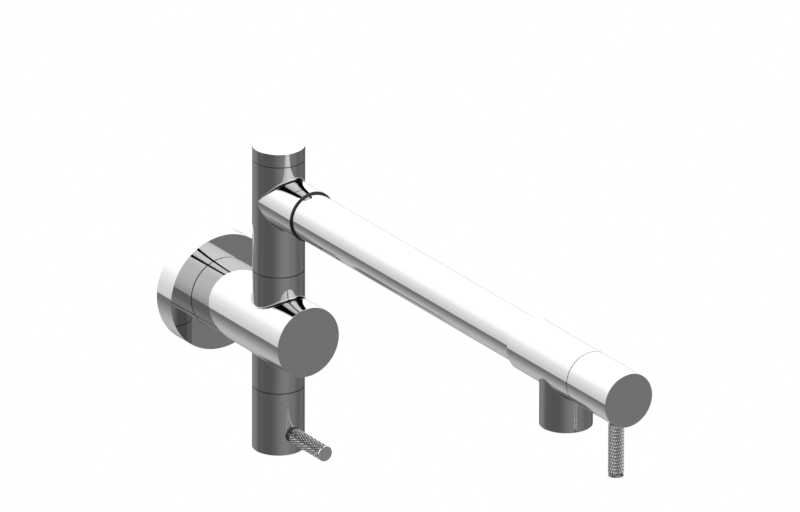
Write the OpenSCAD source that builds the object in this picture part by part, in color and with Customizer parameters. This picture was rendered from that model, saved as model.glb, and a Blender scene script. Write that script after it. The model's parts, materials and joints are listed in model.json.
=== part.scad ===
// Wall-mounted pot filler with one swinging arm and two quarter-turn valves.
// The origin is where the inlet axis meets the wall. The wall is the plane y = 0,
// the tap stands out from it along -Y, and +Z is up. All sizes are in millimetres.

/* [Wall flange] */
// Outer diameter of the round flange on the wall
flange_d = 83; // [78:0.5:92]
// How far the flange stands out from the wall
flange_t = 17.7; // [14:0.1:22]
// Thickness of the flange's rim
flange_rim_t = 3.2; // [2.8:0.1:4]
// Thickness of the flange's front wall
flange_face_t = 2.2; // [1.6:0.1:3]
// Width of the gasket let into the flange's back edge
gasket_w = 1.5; // [1:0.1:2]
// Depth of the gasket let into the flange's back edge
gasket_t = 1.2; // [0.8:0.1:1.4]

/* [Mounting bracket] */
// Thickness of the bracket's disc
bracket_t = 6; // [5.5:0.5:8]
// Diameter of the circle that the wall screws stand on
screw_circle_d = 62; // [60:0.5:64]
// Diameter of the wall screw holes
screw_hole_d = 5.5; // [4.5:0.1:6]
// Diameter of the wall screws' sunk heads
screw_head_d = 10; // [8:0.1:10.4]
// Number of wall screws
screw_count = 4; // [3:1:6]
// Tapping diameter of the inlet's half-inch thread
inlet_thread_d = 18.6; // [16:0.1:21]
// Length of the inlet thread
inlet_thread_len = 15; // [12:1:20]
// Diameter of the drilled waterways
waterway_d = 12; // [9:0.5:13]
// Diameter of the spigot that carries the housing
spigot_d = 30; // [27:0.5:32]
// Length of the spigot in front of the bracket's disc
spigot_len = 36; // [32:1:42]

/* [Main housing] */
// Diameter of the horizontal body
body_d = 50; // [47:0.5:51]
// Diameter of the upright column
column_d = 36; // [35.5:0.5:38]
// Distance from the wall to the column's axis
column_offset = 87.7; // [82:0.1:100]
// Distance from the column's axis to the body's front face
nose_len = 36.7; // [28:0.1:48]
// Distance from the body's axis up to the arm's seam
core_up = 42; // [40:0.5:50]
// Distance from the body's axis down to the handle's seam
core_down = 43.3; // [41:0.1:50]
// Diameter of the duct from the lower valve up to the swivel
riser_d = 6; // [4:0.5:6.5]
// Distance of that duct from the column's axis
riser_offset = 12.5; // [11.5:0.1:13]

/* [Arm] */
// Height of the arm's axis over the body's axis
arm_rise = 94.1; // [90:0.1:110]
// Distance from the column's axis to the end of the tee's branch
branch_len = 41; // [38:0.5:50]
// Outer diameter of the arm tube
tube_d = 33.2; // [32:0.1:33.8]
// Wall of the arm tube
tube_wall = 1.5; // [1:0.1:2]
// How deep the arm tube sits in its sockets
tube_socket = 18; // [12:0.5:20]
// Outer diameter of the water pipe inside the arm
pipe_d = 12; // [10:0.5:13]
// Wall of the water pipe inside the arm
pipe_wall = 1; // [0.8:0.1:1.5]
// Height of the cap's seam over the arm's axis
tee_top = 28.7; // [26:0.1:36]
// Height of the cap above its seam
cap_t = 9.8; // [5:0.1:14]
// Length of the cap's threaded plug
cap_plug_len = 5.5; // [5:0.1:6]
// Diameter of the cap's threaded plug
cap_plug_d = 29; // [28.5:0.1:30]

/* [Spout valve] */
// Distance from the column's axis to the spout's axis
spout_reach = 347.6; // [250:0.1:450]
// Diameter of the valve body at the end of the arm
valve_d = 38; // [37:0.1:40]
// Length of the valve body behind the spout's axis
valve_back = 42.7; // [40:0.1:50]
// Length of the valve body in front of the spout's axis
valve_front = 28.1; // [26.5:0.1:32]
// Diameter of the downward spout
spout_d = 36; // [32:0.5:37]
// Distance from the arm's axis down to the spout's mouth
spout_drop = 42.3; // [36:0.1:60]
// Diameter of the spout's inner passage
spout_bore_d = 16; // [12:0.5:18]

/* [Handles and levers] */
// Length of each handle sleeve
handle_len = 45.7; // [44:0.1:52]
// Thickness of the handle sleeve's closed end
handle_end_t = 4; // [3:0.1:5]
// Inner diameter of the handle sleeves
handle_bore_d = 30; // [29:0.1:31]
// Diameter of the knurled levers
lever_d = 10.9; // [9:0.1:11]
// How far a lever stands out from its sleeve
lever_out = 39.8; // [30:0.1:60]
// Distance from a sleeve's closed end to its lever's axis
lever_inset = 14.4; // [13:0.1:16]
// Diameter of the threaded stud on each lever
lever_stud_d = 5; // [4:0.1:6]
// Length of that stud
lever_stud_len = 7; // [5:0.1:8]
// Depth to which a lever's root sits in the hub
lever_seat_depth = 1.4; // [1:0.1:2]
// Length of the plain band at a lever's tip
lever_tip_len = 0.9; // [0.6:0.1:2]

/* [Knurling] */
// Number of grooves in each direction round a lever
knurl_starts = 19; // [10:1:20]
// Length of one diamond along the lever
knurl_pitch = 4.65; // [2:0.05:6]
// Depth of the knurling's grooves
knurl_depth = 0.6; // [0.3:0.05:0.6]

/* [Valve cartridges] */
// Distance from a handle's seam to its valve seat
seat_depth = 28.5; // [27.5:0.1:29.5]
// Thickness of the rubber seat washer
seat_washer_t = 1.5; // [1:0.1:2]
// Diameter of the water gallery round each cartridge
gallery_d = 25; // [23:0.5:27]
// Diameter of the port in the valve seat
seat_port_d = 10; // [8:0.1:11]
// Outer diameter of the cartridge barrel
barrel_d = 19; // [18.6:0.1:19.6]
// Diameter of the cartridge's thread
barrel_thread_d = 20.8; // [20.4:0.1:21.4]
// Length of the cartridge's thread
barrel_thread_len = 8; // [7:0.1:9]
// Diameter of the ceramic discs
disc_d = 15; // [14.4:0.1:15.4]
// Thickness of each ceramic disc
disc_t = 3; // [2:0.1:3.4]
// Width across the flats of the cartridge's hexagon
hex_af = 24; // [23:0.1:24.4]
// Thickness of the cartridge's hexagon
hex_t = 6; // [5:0.1:6.4]
// How deep the hexagon sits below the seam
hex_sink = 2; // [1.5:0.1:3]
// Diameter of the cartridge's neck
neck_d = 14; // [13:0.1:15]
// Length of the neck past the seam
neck_len = 6; // [5:0.1:7]
// Diameter of the valve spindle
spindle_d = 8; // [7.4:0.1:8.4]
// Length of the spindle past the seam
spindle_out = 24; // [22:0.1:26]
// Thickness of the spindle's drive flange
drive_t = 3.5; // [3:0.1:3.6]
// Depth of the flat on the spindle's outer end
spindle_flat = 1; // [0.5:0.1:1.4]
// Thickness of the stop ring on the spindle
stop_t = 1; // [0.8:0.1:1.4]
// Quarter turn that the stops allow, in degrees
stop_swing = 90; // [60:5:120]

/* [Handle hubs] */
// Length of the hub's narrow foot
hub_foot_len = 12; // [10:0.1:13]
// Diameter of the hub's narrow foot
hub_foot_d = 14; // [12.5:0.1:16]
// Diameter of the hub screw's shank
hub_screw_d = 4; // [3:0.1:4.4]
// Length of the hub screw's shank
hub_screw_len = 11; // [9:0.1:12]
// Diameter of the hub screw's head
hub_screw_head_d = 7.2; // [6.6:0.1:7.6]
// Height of the hub screw's head
hub_screw_head_t = 2.8; // [2:0.1:3.2]
// Thickness of the web under the hub screw's head
hub_web_t = 3; // [2.5:0.1:4]

/* [Swivel] */
// Diameter of the swivel post
post_d = 22; // [21:0.1:23]
// Diameter of the post's thread in the housing
post_thread_d = 24; // [23.5:0.1:25]
// Length of the post's thread in the housing
post_thread_len = 12; // [10:0.5:13]
// Depth of the chamber under the post
post_chamber = 6; // [5:0.1:7]
// Diameter of the water groove round the post
post_groove_d = 18; // [17:0.1:19]
// Width of the water groove round the post
post_groove_w = 14; // [10:0.1:15]
// Diameter of the post's four water holes
post_hole_d = 8; // [5:0.1:9]
// Diameter of the thread at the post's top
post_top_d = 14; // [12.5:0.1:15]
// Outer diameter of the lower bearing ring
bearing_d = 32; // [30:0.1:33]
// Thickness of each bearing ring
bearing_t = 1.5; // [1:0.1:2]
// Outer diameter of the upper bearing ring
top_bearing_d = 27; // [26:0.1:28]
// Height of the shoulder for the upper bearing over the arm's axis
post_shoulder = 13.5; // [13.2:0.1:14.5]
// Thickness of the post's nut
post_nut_t = 5; // [4:0.1:5.4]
// Width across the flats of the post's nut
post_nut_af = 24; // [22:0.1:24.4]

/* [Aerator] */
// Diameter of the aerator's thread
aerator_d = 24; // [22:0.1:26]
// Depth of the aerator's socket in the spout
aerator_depth = 12; // [10:0.1:14]
// Thickness of the aerator's washer
aerator_washer_t = 2; // [1.5:0.1:2.5]
// Wall of the aerator's shell
aerator_wall = 1.9; // [1.4:0.1:2.4]
// Width of the lip that holds the aerator's insert
aerator_lip = 0.9; // [0.5:0.1:1.2]
// Height of that lip
aerator_lip_t = 1; // [0.6:0.1:1.4]
// How far the aerator lies inside the spout's mouth
aerator_recess = 0.6; // [0.3:0.1:1.5]
// Diameter of each hole in the aerator's insert
jet_d = 1.8; // [1:0.1:2]
// Distance between the holes in the aerator's insert
jet_pitch = 2.7; // [2.5:0.1:3.2]

/* [Set screws and seals] */
// Diameter of the flange's set screw
flange_screw_d = 4; // [3:0.1:4.4]
// Distance of the flange's set screw from the wall
flange_screw_y = 3.6; // [3.5:0.1:3.7]
// Diameter of the housing's set screw
housing_screw_d = 6; // [5:0.1:7]
// Distance of the housing's set screw from the wall
housing_screw_y = 24; // [23:0.5:26]
// Width across the flats of the set screws' sockets
socket_af_share = 0.5; // [0.4:0.05:0.55]
// Thickness of the O-rings on the spigot, post and barrels
o_ring_t = 1.9; // [1.6:0.1:2]
// Thickness of the small O-rings on the spindles, pipe and cap
small_o_ring_t = 1.5; // [1.2:0.1:1.6]

/* [Clearances and edges] */
// Radial clearance of parts that turn or slide in each other
running_gap = 0.05; // [0.03:0.01:0.08]
// Radial clearance of parts that are fitted by hand
loose_gap = 0.15; // [0.1:0.01:0.25]
// Width of the seam between parts that turn against each other
seam_gap = 0.3; // [0.2:0.05:0.5]
// Bevel on the outer edges
edge_bevel = 0.15; // [0.1:0.05:0.5]
// Bevel at the seams
seam_bevel = 0.12; // [0.05:0.01:0.15]

/* [Hidden] */
$fn = 96;

// Cutting tools run past the faces that they cut by this much
overrun = 1;
// A hexagon's corner radius over half its width across the flats
hex_corner = 1 / cos(30);

// Radii that several parts share
flange_r = flange_d / 2;
body_r = body_d / 2;
column_r = column_d / 2;
spigot_r = spigot_d / 2;
tube_r = tube_d / 2;
valve_r = valve_d / 2;
spout_r = spout_d / 2;
pipe_r = pipe_d / 2;
post_r = post_d / 2;
lever_r = lever_d / 2;
knurl_low_r = lever_r - knurl_depth;
handle_bore_r = handle_bore_d / 2;
spindle_r = spindle_d / 2;
barrel_r = barrel_d / 2;
barrel_thread_r = barrel_thread_d / 2;
disc_r = disc_d / 2;
bracket_r = flange_r - flange_rim_t - loose_gap;
gasket_mid_r = flange_r - flange_rim_t / 2;

// Places along the arm, measured from the column's axis
valve_start = spout_reach - valve_back;
valve_end = spout_reach + valve_front;
seat_reach = valve_end - seat_depth;
tube_start = branch_len - tube_socket;
tube_end = valve_start + tube_socket;
// How far the inner pipe reaches past each end of the arm tube
pipe_grip = 8.5;
pipe_start = tube_start - pipe_grip;
pipe_end = tube_end + pipe_grip;
// Distance from the arm tube's end to the inner pipe's O-ring
pipe_ring_inset = 4.5;

// Heights above the body's axis
tee_seam = arm_rise + tee_top;
post_shoulder_z = arm_rise + post_shoulder;
post_nut_z = post_shoulder_z + bearing_t;
post_top_z = post_nut_z + post_nut_t;
swivel_ring_rise = post_groove_w / 2 + (post_shoulder - post_groove_w / 2) / 2;

// Places along a valve's axis, measured outwards from its handle's seam
barrel_start = -seat_depth + seat_washer_t;
moving_start = barrel_start + disc_t;
drive_start = moving_start + disc_t;
stem_start = drive_start + drive_t;
hex_start = -hex_sink;
thread_start = hex_start - barrel_thread_len;
barrel_ring_w = hex_start - o_ring_t;
neck_top = neck_len + stop_t;
stop_start = neck_len + running_gap;
hub_start = stop_start + stop_t + running_gap;
hub_body_start = hub_start + hub_foot_len;
hub_web_start = spindle_out + running_gap;
hub_head_start = hub_web_start + hub_web_t;
hub_screw_start = hub_head_start - hub_screw_len;
hub_r = handle_bore_r - loose_gap;
hub_end = handle_len - handle_end_t - running_gap;
lever_w = handle_len - lever_inset;
lever_root = hub_r - lever_seat_depth;
spindle_ring_w = hex_start + hex_t / 2;
stop_ring_r = (spindle_r + neck_d / 2) / 2;
// Angle that the stop ring's tab takes up, and the play at the ends of its turn
stop_tab_angle = 30;
stop_slack = 4;

// Places of the spigot's O-rings, as shares of its length
spigot_ring_shares = [0.74, 0.9];

// Places down the spout, measured from the arm's axis
aerator_top = spout_drop - aerator_depth;
shell_top = aerator_top + aerator_washer_t;
aerator_mouth = spout_drop - aerator_recess;
insert_r = aerator_d / 2 - aerator_wall - running_gap;

// Turns +Z to point away from the wall
module outwards() {
    rotate([90, 0, 0]) children();
}

// Frame at the body's axis in the column
module at_column() {
    translate([0, -column_offset, 0]) children();
}

// Frame at the column's axis on the arm's axis, with +Z along the arm
module at_arm() {
    translate([0, -column_offset, arm_rise]) outwards() children();
}

// Frame of the lower valve: origin at its seam, +Z towards the handle's end, +Y along its lever
module at_wall_valve() {
    translate([0, -column_offset, -core_down]) rotate([180, 0, 0]) children();
}

// Frame of the spout's valve: origin at its seam, +Z towards the handle's end, +Y along its lever
module at_spout_valve() {
    translate([0, -column_offset - valve_end, arm_rise]) rotate([90, 0, 0]) rotate([0, 0, 180]) children();
}

// Frame at the spout's axis on the arm's axis, with +Z down the spout
module at_spout() {
    translate([0, -column_offset - spout_reach, arm_rise]) rotate([180, 0, 0]) children();
}

// Round bar from z = from to z = to, with a bevel at each end
module bar(r, from, to, bevel_from = 0, bevel_to = 0) {
    rotate_extrude()
        polygon([
            [0, from], [r - bevel_from, from], [r, from + bevel_from],
            [r, to - bevel_to], [r - bevel_to, to], [0, to]
        ]);
}

// Round hole from z = from to z = to
module hole(r, from, to) {
    translate([0, 0, from]) cylinder(r = r, h = to - from);
}

// Flat ring from z = from to z = to
module ring(outer_r, inner_r, from, to) {
    difference() {
        hole(outer_r, from, to);
        hole(inner_r, from - overrun, to + overrun);
    }
}

// O-ring of the given thickness whose outside fits a bore of radius bore_r
module o_ring_in(bore_r, thickness, place) {
    translate([0, 0, place])
        rotate_extrude()
            translate([bore_r - running_gap - thickness / 2, 0]) circle(d = thickness, $fn = 32);
}

// Groove that holds such an O-ring, cut into a shaft
module o_ring_groove(bore_r, thickness, place) {
    ring(bore_r + overrun, groove_floor(bore_r, thickness), place - thickness / 2 - running_gap,
        place + thickness / 2 + running_gap);
}

function groove_floor(bore_r, thickness) = bore_r - thickness - 2 * running_gap;

// Bore radii that the O-rings seal against
spigot_bore_r = spigot_r + running_gap;
post_bore_r = post_r + running_gap;
barrel_bore_r = barrel_thread_r + running_gap;
stem_bore_r = spindle_r + running_gap;
cap_bore_r = cap_plug_d / 2 + running_gap;
pipe_bore_r = pipe_r + running_gap;
// Radius of the grooves that hold the inner pipe's O-rings
pipe_gland_r = pipe_bore_r + small_o_ring_t + running_gap;

// Set screw along +Z with a hexagon socket in its outer end
module set_screw(r, from, to) {
    difference() {
        bar(r, from, to, seam_bevel, seam_bevel);
        translate([0, 0, to - r])
            cylinder(r = r * socket_af_share * hex_corner, h = r + overrun, $fn = 6);
    }
}

// Wall bracket

module mounting_bracket() {
    spigot_end = bracket_t + spigot_len;
    sink = (screw_head_d - screw_hole_d) / 2;
    color([0.78, 0.62, 0.32])
        outwards() difference() {
            union() {
                bar(bracket_r, 0, bracket_t, seam_bevel, edge_bevel);
                bar(spigot_r, 0, spigot_end, 0, edge_bevel);
            }
            hole(inlet_thread_d / 2, -overrun, inlet_thread_len);
            hole(waterway_d / 2, 0, spigot_end + overrun);
            for (turn = [0 : screw_count - 1])
                rotate([0, 0, (turn + 1 / 2) * 360 / screw_count])
                    translate([screw_circle_d / 2, 0, 0]) {
                        hole(screw_hole_d / 2, -overrun, bracket_t + overrun);
                        translate([0, 0, bracket_t - sink])
                            cylinder(r1 = screw_hole_d / 2, r2 = screw_head_d / 2, h = sink);
                    }
            for (share = spigot_ring_shares)
                o_ring_groove(spigot_bore_r, o_ring_t, bracket_t + spigot_len * share);
        }
}

module inlet_o_rings() {
    color([0.08, 0.08, 0.08])
        outwards()
            for (share = spigot_ring_shares)
                o_ring_in(spigot_bore_r, o_ring_t, bracket_t + spigot_len * share);
}

module wall_gasket() {
    color([0.1, 0.1, 0.1])
        outwards()
            ring(gasket_mid_r + gasket_w / 2 - running_gap, gasket_mid_r - gasket_w / 2 + running_gap,
                0, gasket_t);
}

module wall_flange() {
    color([0.86, 0.87, 0.88])
        outwards() difference() {
            bar(flange_r, 0, flange_t, seam_bevel, edge_bevel);
            hole(flange_r - flange_rim_t, -overrun, flange_t - flange_face_t);
            hole(body_r + loose_gap, 0, flange_t + overrun);
            ring(gasket_mid_r + gasket_w / 2, gasket_mid_r - gasket_w / 2, -overrun, gasket_t);
            translate([0, 0, flange_screw_y]) rotate([90, 0, 0])
                hole(flange_screw_d / 2 + running_gap, 0, flange_d);
        }
}

module flange_set_screw() {
    color([0.5, 0.5, 0.52])
        outwards() translate([0, 0, flange_screw_y]) rotate([90, 0, 0])
            set_screw(flange_screw_d / 2, bracket_r + running_gap, flange_r - edge_bevel);
}

// Main housing, one casting of the horizontal body and the column's middle

module main_housing() {
    inlet_end = column_offset + waterway_d / 2;
    chamber_floor = core_up - post_thread_len - post_chamber;
    color([0.86, 0.87, 0.88])
        difference() {
            union() {
                outwards() bar(body_r, bracket_t, column_offset + nose_len, seam_bevel, edge_bevel);
                at_column() bar(column_r, -core_down, core_up, seam_bevel, seam_bevel);
            }
            outwards() {
                hole(spigot_bore_r, 0, bracket_t + spigot_len + loose_gap);
                hole(waterway_d / 2, 0, inlet_end);
                translate([0, 0, housing_screw_y]) rotate([90, 0, 0])
                    hole(housing_screw_d / 2 + running_gap, 0, body_d);
            }
            at_wall_valve() {
                valve_bore();
                hole(seat_port_d / 2, -core_down, 0);
            }
            at_column() {
                hole(post_thread_d / 2 + running_gap, chamber_floor, core_up + overrun);
                translate([0, -riser_offset, 0])
                    hole(riser_d / 2, -core_down - stem_start, chamber_floor + riser_d / 2);
            }
        }
}

module housing_set_screw() {
    color([0.5, 0.5, 0.52])
        outwards() translate([0, 0, housing_screw_y]) rotate([90, 0, 0])
            set_screw(housing_screw_d / 2, spigot_r + loose_gap, body_r - edge_bevel);
}

// Bore that takes a valve cartridge, from the seat out to the seam
module valve_bore() {
    hole(barrel_bore_r, -seat_depth, 0);
    hole(gallery_d / 2, moving_start, stem_start);
    hole(hex_af / 2 * hex_corner + loose_gap, hex_start, overrun);
}

// Swivel

module swivel_post() {
    post_bore = waterway_d / 2;
    color([0.78, 0.62, 0.32])
        at_column() difference() {
            union() {
                bar(post_thread_d / 2, core_up - post_thread_len, core_up, edge_bevel, 0);
                bar(post_r, core_up, post_shoulder_z);
                bar(post_top_d / 2, post_shoulder_z, post_top_z, 0, edge_bevel);
            }
            hole(post_bore, 0, arm_rise + post_groove_w / 2);
            ring(post_d, post_groove_d / 2, arm_rise - post_groove_w / 2, arm_rise + post_groove_w / 2);
            for (turn = [0, 90])
                translate([0, 0, arm_rise]) rotate([90, 0, turn])
                    translate([0, 0, -post_r]) cylinder(d = post_hole_d, h = post_d);
            for (side = [-1, 1])
                o_ring_groove(post_bore_r, o_ring_t, arm_rise + side * swivel_ring_rise);
        }
}

module swivel_o_rings() {
    color([0.08, 0.08, 0.08])
        at_column()
            for (side = [-1, 1])
                o_ring_in(post_bore_r, o_ring_t, arm_rise + side * swivel_ring_rise);
}

module lower_bearing_ring() {
    color([0.16, 0.16, 0.17])
        at_column() ring(bearing_d / 2, post_bore_r, core_up, core_up + bearing_t);
}

module upper_bearing_ring() {
    color([0.9, 0.9, 0.88])
        at_column()
            ring(top_bearing_d / 2, post_top_d / 2 + running_gap, post_shoulder_z, post_nut_z);
}

module post_nut() {
    color([0.78, 0.62, 0.32])
        at_column() translate([0, 0, post_nut_z]) difference() {
            cylinder(r = post_nut_af / 2 * hex_corner, h = post_nut_t, $fn = 6);
            hole(post_top_d / 2 + running_gap, -overrun, post_nut_t + overrun);
        }
}

// Arm

module arm_tee() {
    color([0.86, 0.87, 0.88])
        difference() {
            union() {
                at_column() bar(column_r, core_up + seam_gap, tee_seam, seam_bevel, seam_bevel);
                at_arm() bar(column_r, 0, branch_len, 0, edge_bevel);
            }
            at_column() {
                hole(post_bore_r, 0, tee_seam);
                hole(bearing_d / 2 + loose_gap, core_up, core_up + bearing_t);
                hole(cap_bore_r, post_shoulder_z, tee_seam + overrun);
            }
            at_arm() {
                hole(pipe_bore_r, post_groove_d / 2, branch_len);
                hole(tube_r + running_gap, tube_start, branch_len + overrun);
                pipe_gland(tube_start - pipe_ring_inset);
            }
        }
}

// Groove inside a pipe socket for the pipe's O-ring
module pipe_gland(place) {
    hole(pipe_gland_r, place - small_o_ring_t / 2 - running_gap, place + small_o_ring_t / 2 + running_gap);
}

module top_cap() {
    color([0.86, 0.87, 0.88])
        at_column() difference() {
            union() {
                bar(column_r, tee_seam, tee_seam + cap_t, seam_bevel, edge_bevel);
                bar(cap_plug_d / 2, tee_seam - cap_plug_len, tee_seam, edge_bevel, 0);
            }
            o_ring_groove(cap_bore_r, small_o_ring_t, tee_seam - cap_plug_len / 2);
        }
}

module cap_o_ring() {
    color([0.08, 0.08, 0.08])
        at_column() o_ring_in(cap_bore_r, small_o_ring_t, tee_seam - cap_plug_len / 2);
}

module arm_tube() {
    color([0.86, 0.87, 0.88])
        at_arm() ring(tube_r, tube_r - tube_wall, tube_start, tube_end);
}

module inner_pipe() {
    color([0.7, 0.71, 0.72])
        at_arm() ring(pipe_r, pipe_r - pipe_wall, pipe_start, pipe_end);
}

module pipe_o_rings() {
    color([0.08, 0.08, 0.08])
        at_arm()
            for (place = [tube_start - pipe_ring_inset, tube_end + pipe_ring_inset])
                o_ring_in(pipe_gland_r, small_o_ring_t, place);
}

module valve_body() {
    pipe_stop = pipe_end + loose_gap;
    spout_top = sqrt(pow(barrel_bore_r, 2) - pow(barrel_bore_r / 2, 2));
    color([0.86, 0.87, 0.88])
        difference() {
            union() {
                at_arm() bar(valve_r, valve_start, valve_end, edge_bevel, seam_bevel);
                at_spout() bar(spout_r, 0, spout_drop, 0, edge_bevel);
            }
            at_arm() {
                hole(tube_r + running_gap, valve_start - overrun, tube_end);
                hole(pipe_bore_r, valve_start, pipe_stop);
                pipe_gland(tube_end + pipe_ring_inset);
                hole(seat_port_d / 2, valve_start, valve_end);
            }
            at_spout_valve() valve_bore();
            at_spout() {
                hole(spout_bore_d / 2, spout_top, spout_drop);
                hole(aerator_d / 2 + running_gap, spout_drop - aerator_depth, spout_drop + overrun);
            }
        }
}

// Valve parts, in a valve's own frame

module seat_washer() {
    color([0.1, 0.1, 0.1])
        ring(barrel_r, seat_port_d / 2, -seat_depth, barrel_start);
}

// Ceramic disc with two quarter-round ports, turned by the given angle
module ceramic_disc(from, turn) {
    port_inner_r = spindle_r / 4;
    port_outer_r = seat_port_d / 2;
    color([0.93, 0.92, 0.88])
        difference() {
            bar(disc_r, from, from + disc_t, seam_bevel, seam_bevel);
            for (side = [0, 180])
                rotate([0, 0, turn + side])
                    translate([0, 0, from - overrun])
                        linear_extrude(disc_t + 2 * overrun)
                            quarter_port(port_inner_r, port_outer_r);
        }
}

// Port outline: a quarter of a ring about the +X axis
module quarter_port(inner_r, outer_r) {
    intersection() {
        difference() {
            circle(r = outer_r);
            circle(r = inner_r);
        }
        polygon([[0, 0], [outer_r * 2, -outer_r * 2], [outer_r * 2, outer_r * 2]]);
    }
}

module fixed_disc() {
    ceramic_disc(barrel_start, 0);
}

module moving_disc() {
    ceramic_disc(moving_start, stop_swing);
}

module cartridge_barrel() {
    disc_bore_r = disc_r + running_gap;
    window_w = disc_r;
    color([0.78, 0.62, 0.32])
        difference() {
            union() {
                bar(barrel_r, barrel_start, thread_start, 0, 0);
                bar(barrel_thread_r, thread_start, hex_start, seam_bevel, 0);
                translate([0, 0, hex_start]) cylinder(r = hex_af / 2 * hex_corner, h = hex_t, $fn = 6);
                bar(neck_d / 2, hex_start, neck_top);
            }
            stop_pocket();
            hole(disc_bore_r, barrel_start - overrun, stem_start + running_gap);
            hole(stem_bore_r, stem_start, neck_top + overrun);
            translate([-barrel_d, -window_w / 2, drive_start + seam_bevel])
                cube([2 * barrel_d, window_w, drive_t - 2 * seam_bevel]);
            o_ring_groove(barrel_bore_r, o_ring_t, barrel_ring_w);
        }
}

// Pocket in the neck's end for the stop ring, open only where the ring's tab swings
module stop_pocket() {
    free_angle = stop_swing + stop_tab_angle + stop_slack;
    hole(stop_ring_r + running_gap, neck_len, neck_top + overrun);
    rotate([0, 0, 90 - (stop_tab_angle + stop_slack) / 2])
        rotate_extrude(angle = free_angle)
            translate([0, neck_len]) square([neck_d, stop_t + overrun]);
}

module stop_ring() {
    color([0.5, 0.5, 0.52])
        union() {
            ring(stop_ring_r, stem_bore_r, stop_start, stop_start + stop_t);
            rotate([0, 0, 90 - stop_tab_angle / 2])
                rotate_extrude(angle = stop_tab_angle)
                    translate([stem_bore_r, stop_start])
                        square([neck_d / 2 - stem_bore_r, stop_t]);
        }
}

module barrel_o_ring() {
    color([0.08, 0.08, 0.08]) o_ring_in(barrel_bore_r, o_ring_t, barrel_ring_w);
}

module spindle() {
    flat_start = stop_start + stop_t;
    color([0.78, 0.62, 0.32])
        difference() {
            union() {
                bar(disc_r, drive_start, stem_start, seam_bevel, seam_bevel);
                bar(spindle_r, drive_start, spindle_out, 0, seam_bevel);
            }
            flat_cut(flat_start, spindle_out + overrun, spindle_r - spindle_flat);
            hole(hub_screw_d / 2 + running_gap, hub_screw_start - running_gap, spindle_out + overrun);
            o_ring_groove(stem_bore_r, small_o_ring_t, spindle_ring_w);
            for (side = [0, 180])
                rotate([0, 0, stop_swing + side])
                    translate([spindle_r, -seat_port_d / 2, drive_start - overrun])
                        cube([barrel_d, seat_port_d, drive_t - seam_bevel + overrun]);
        }
}

// Block that cuts a flat across a shaft, facing away from the lever
module flat_cut(from, to, distance) {
    translate([-spindle_d, -distance - spindle_d, from]) cube([2 * spindle_d, spindle_d, to - from]);
}

module spindle_o_ring() {
    color([0.08, 0.08, 0.08]) o_ring_in(stem_bore_r, small_o_ring_t, spindle_ring_w);
}

module handle_hub() {
    color([0.78, 0.62, 0.32])
        difference() {
            union() {
                bar(hub_foot_d / 2, hub_start, hub_body_start);
                bar(hub_r, hub_body_start, hub_end, edge_bevel, edge_bevel);
            }
            difference() {
                hole(stem_bore_r, hub_start - overrun, hub_web_start);
                flat_cut(hub_start - 2 * overrun, hub_web_start, spindle_r - spindle_flat + running_gap);
            }
            hole(hub_screw_d / 2 + running_gap, hub_start, hub_end);
            hole(hub_screw_head_d / 2 + loose_gap, hub_head_start, hub_end + overrun);
            translate([0, 0, lever_w]) rotate([-90, 0, 0]) {
                hole(lever_r + running_gap, lever_root, hub_r + overrun);
                hole(lever_stud_d / 2 + running_gap, lever_root - lever_stud_len - running_gap, hub_r);
            }
        }
}

module hub_screw() {
    socket_r = hub_screw_head_d / 2 * socket_af_share * hex_corner;
    color([0.6, 0.6, 0.62])
        difference() {
            union() {
                bar(hub_screw_d / 2, hub_screw_start, hub_head_start, seam_bevel, 0);
                bar(hub_screw_head_d / 2, hub_head_start, hub_head_start + hub_screw_head_t, 0, edge_bevel);
            }
            translate([0, 0, hub_head_start + hub_screw_head_t / 2])
                cylinder(r = socket_r, h = hub_screw_head_t, $fn = 6);
        }
}

module handle_sleeve(outer_r) {
    color([0.86, 0.87, 0.88])
        difference() {
            bar(outer_r, seam_gap, handle_len, seam_bevel, edge_bevel);
            hole(handle_bore_r, -overrun, handle_len - handle_end_t);
            translate([0, 0, lever_w]) rotate([-90, 0, 0])
                hole(lever_r + loose_gap, 0, outer_r + overrun);
        }
}

// Knurled lever that stands out of a sleeve of the given radius, with a neck where the knurling runs out
module lever(outer_r) {
    root_end = sqrt(pow(outer_r, 2) - pow(lever_r, 2));
    tip = outer_r + lever_out;
    knurl_end = tip - lever_tip_len;
    rows = floor(2 * (knurl_end - outer_r - seam_gap) / knurl_pitch);
    knurl_start = knurl_end - rows * knurl_pitch / 2;
    color([0.8, 0.81, 0.82])
        translate([0, 0, lever_w]) rotate([-90, 0, 0]) {
            bar(lever_stud_d / 2, lever_root - lever_stud_len, root_end, seam_bevel, 0);
            bar(lever_r, lever_root, root_end, seam_bevel, 0);
            bar(knurl_low_r - seam_bevel, lever_root, knurl_start);
            knurled_bar(knurl_start, rows);
            bar(lever_r, knurl_end, tip, 0, edge_bevel);
        }
}

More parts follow.
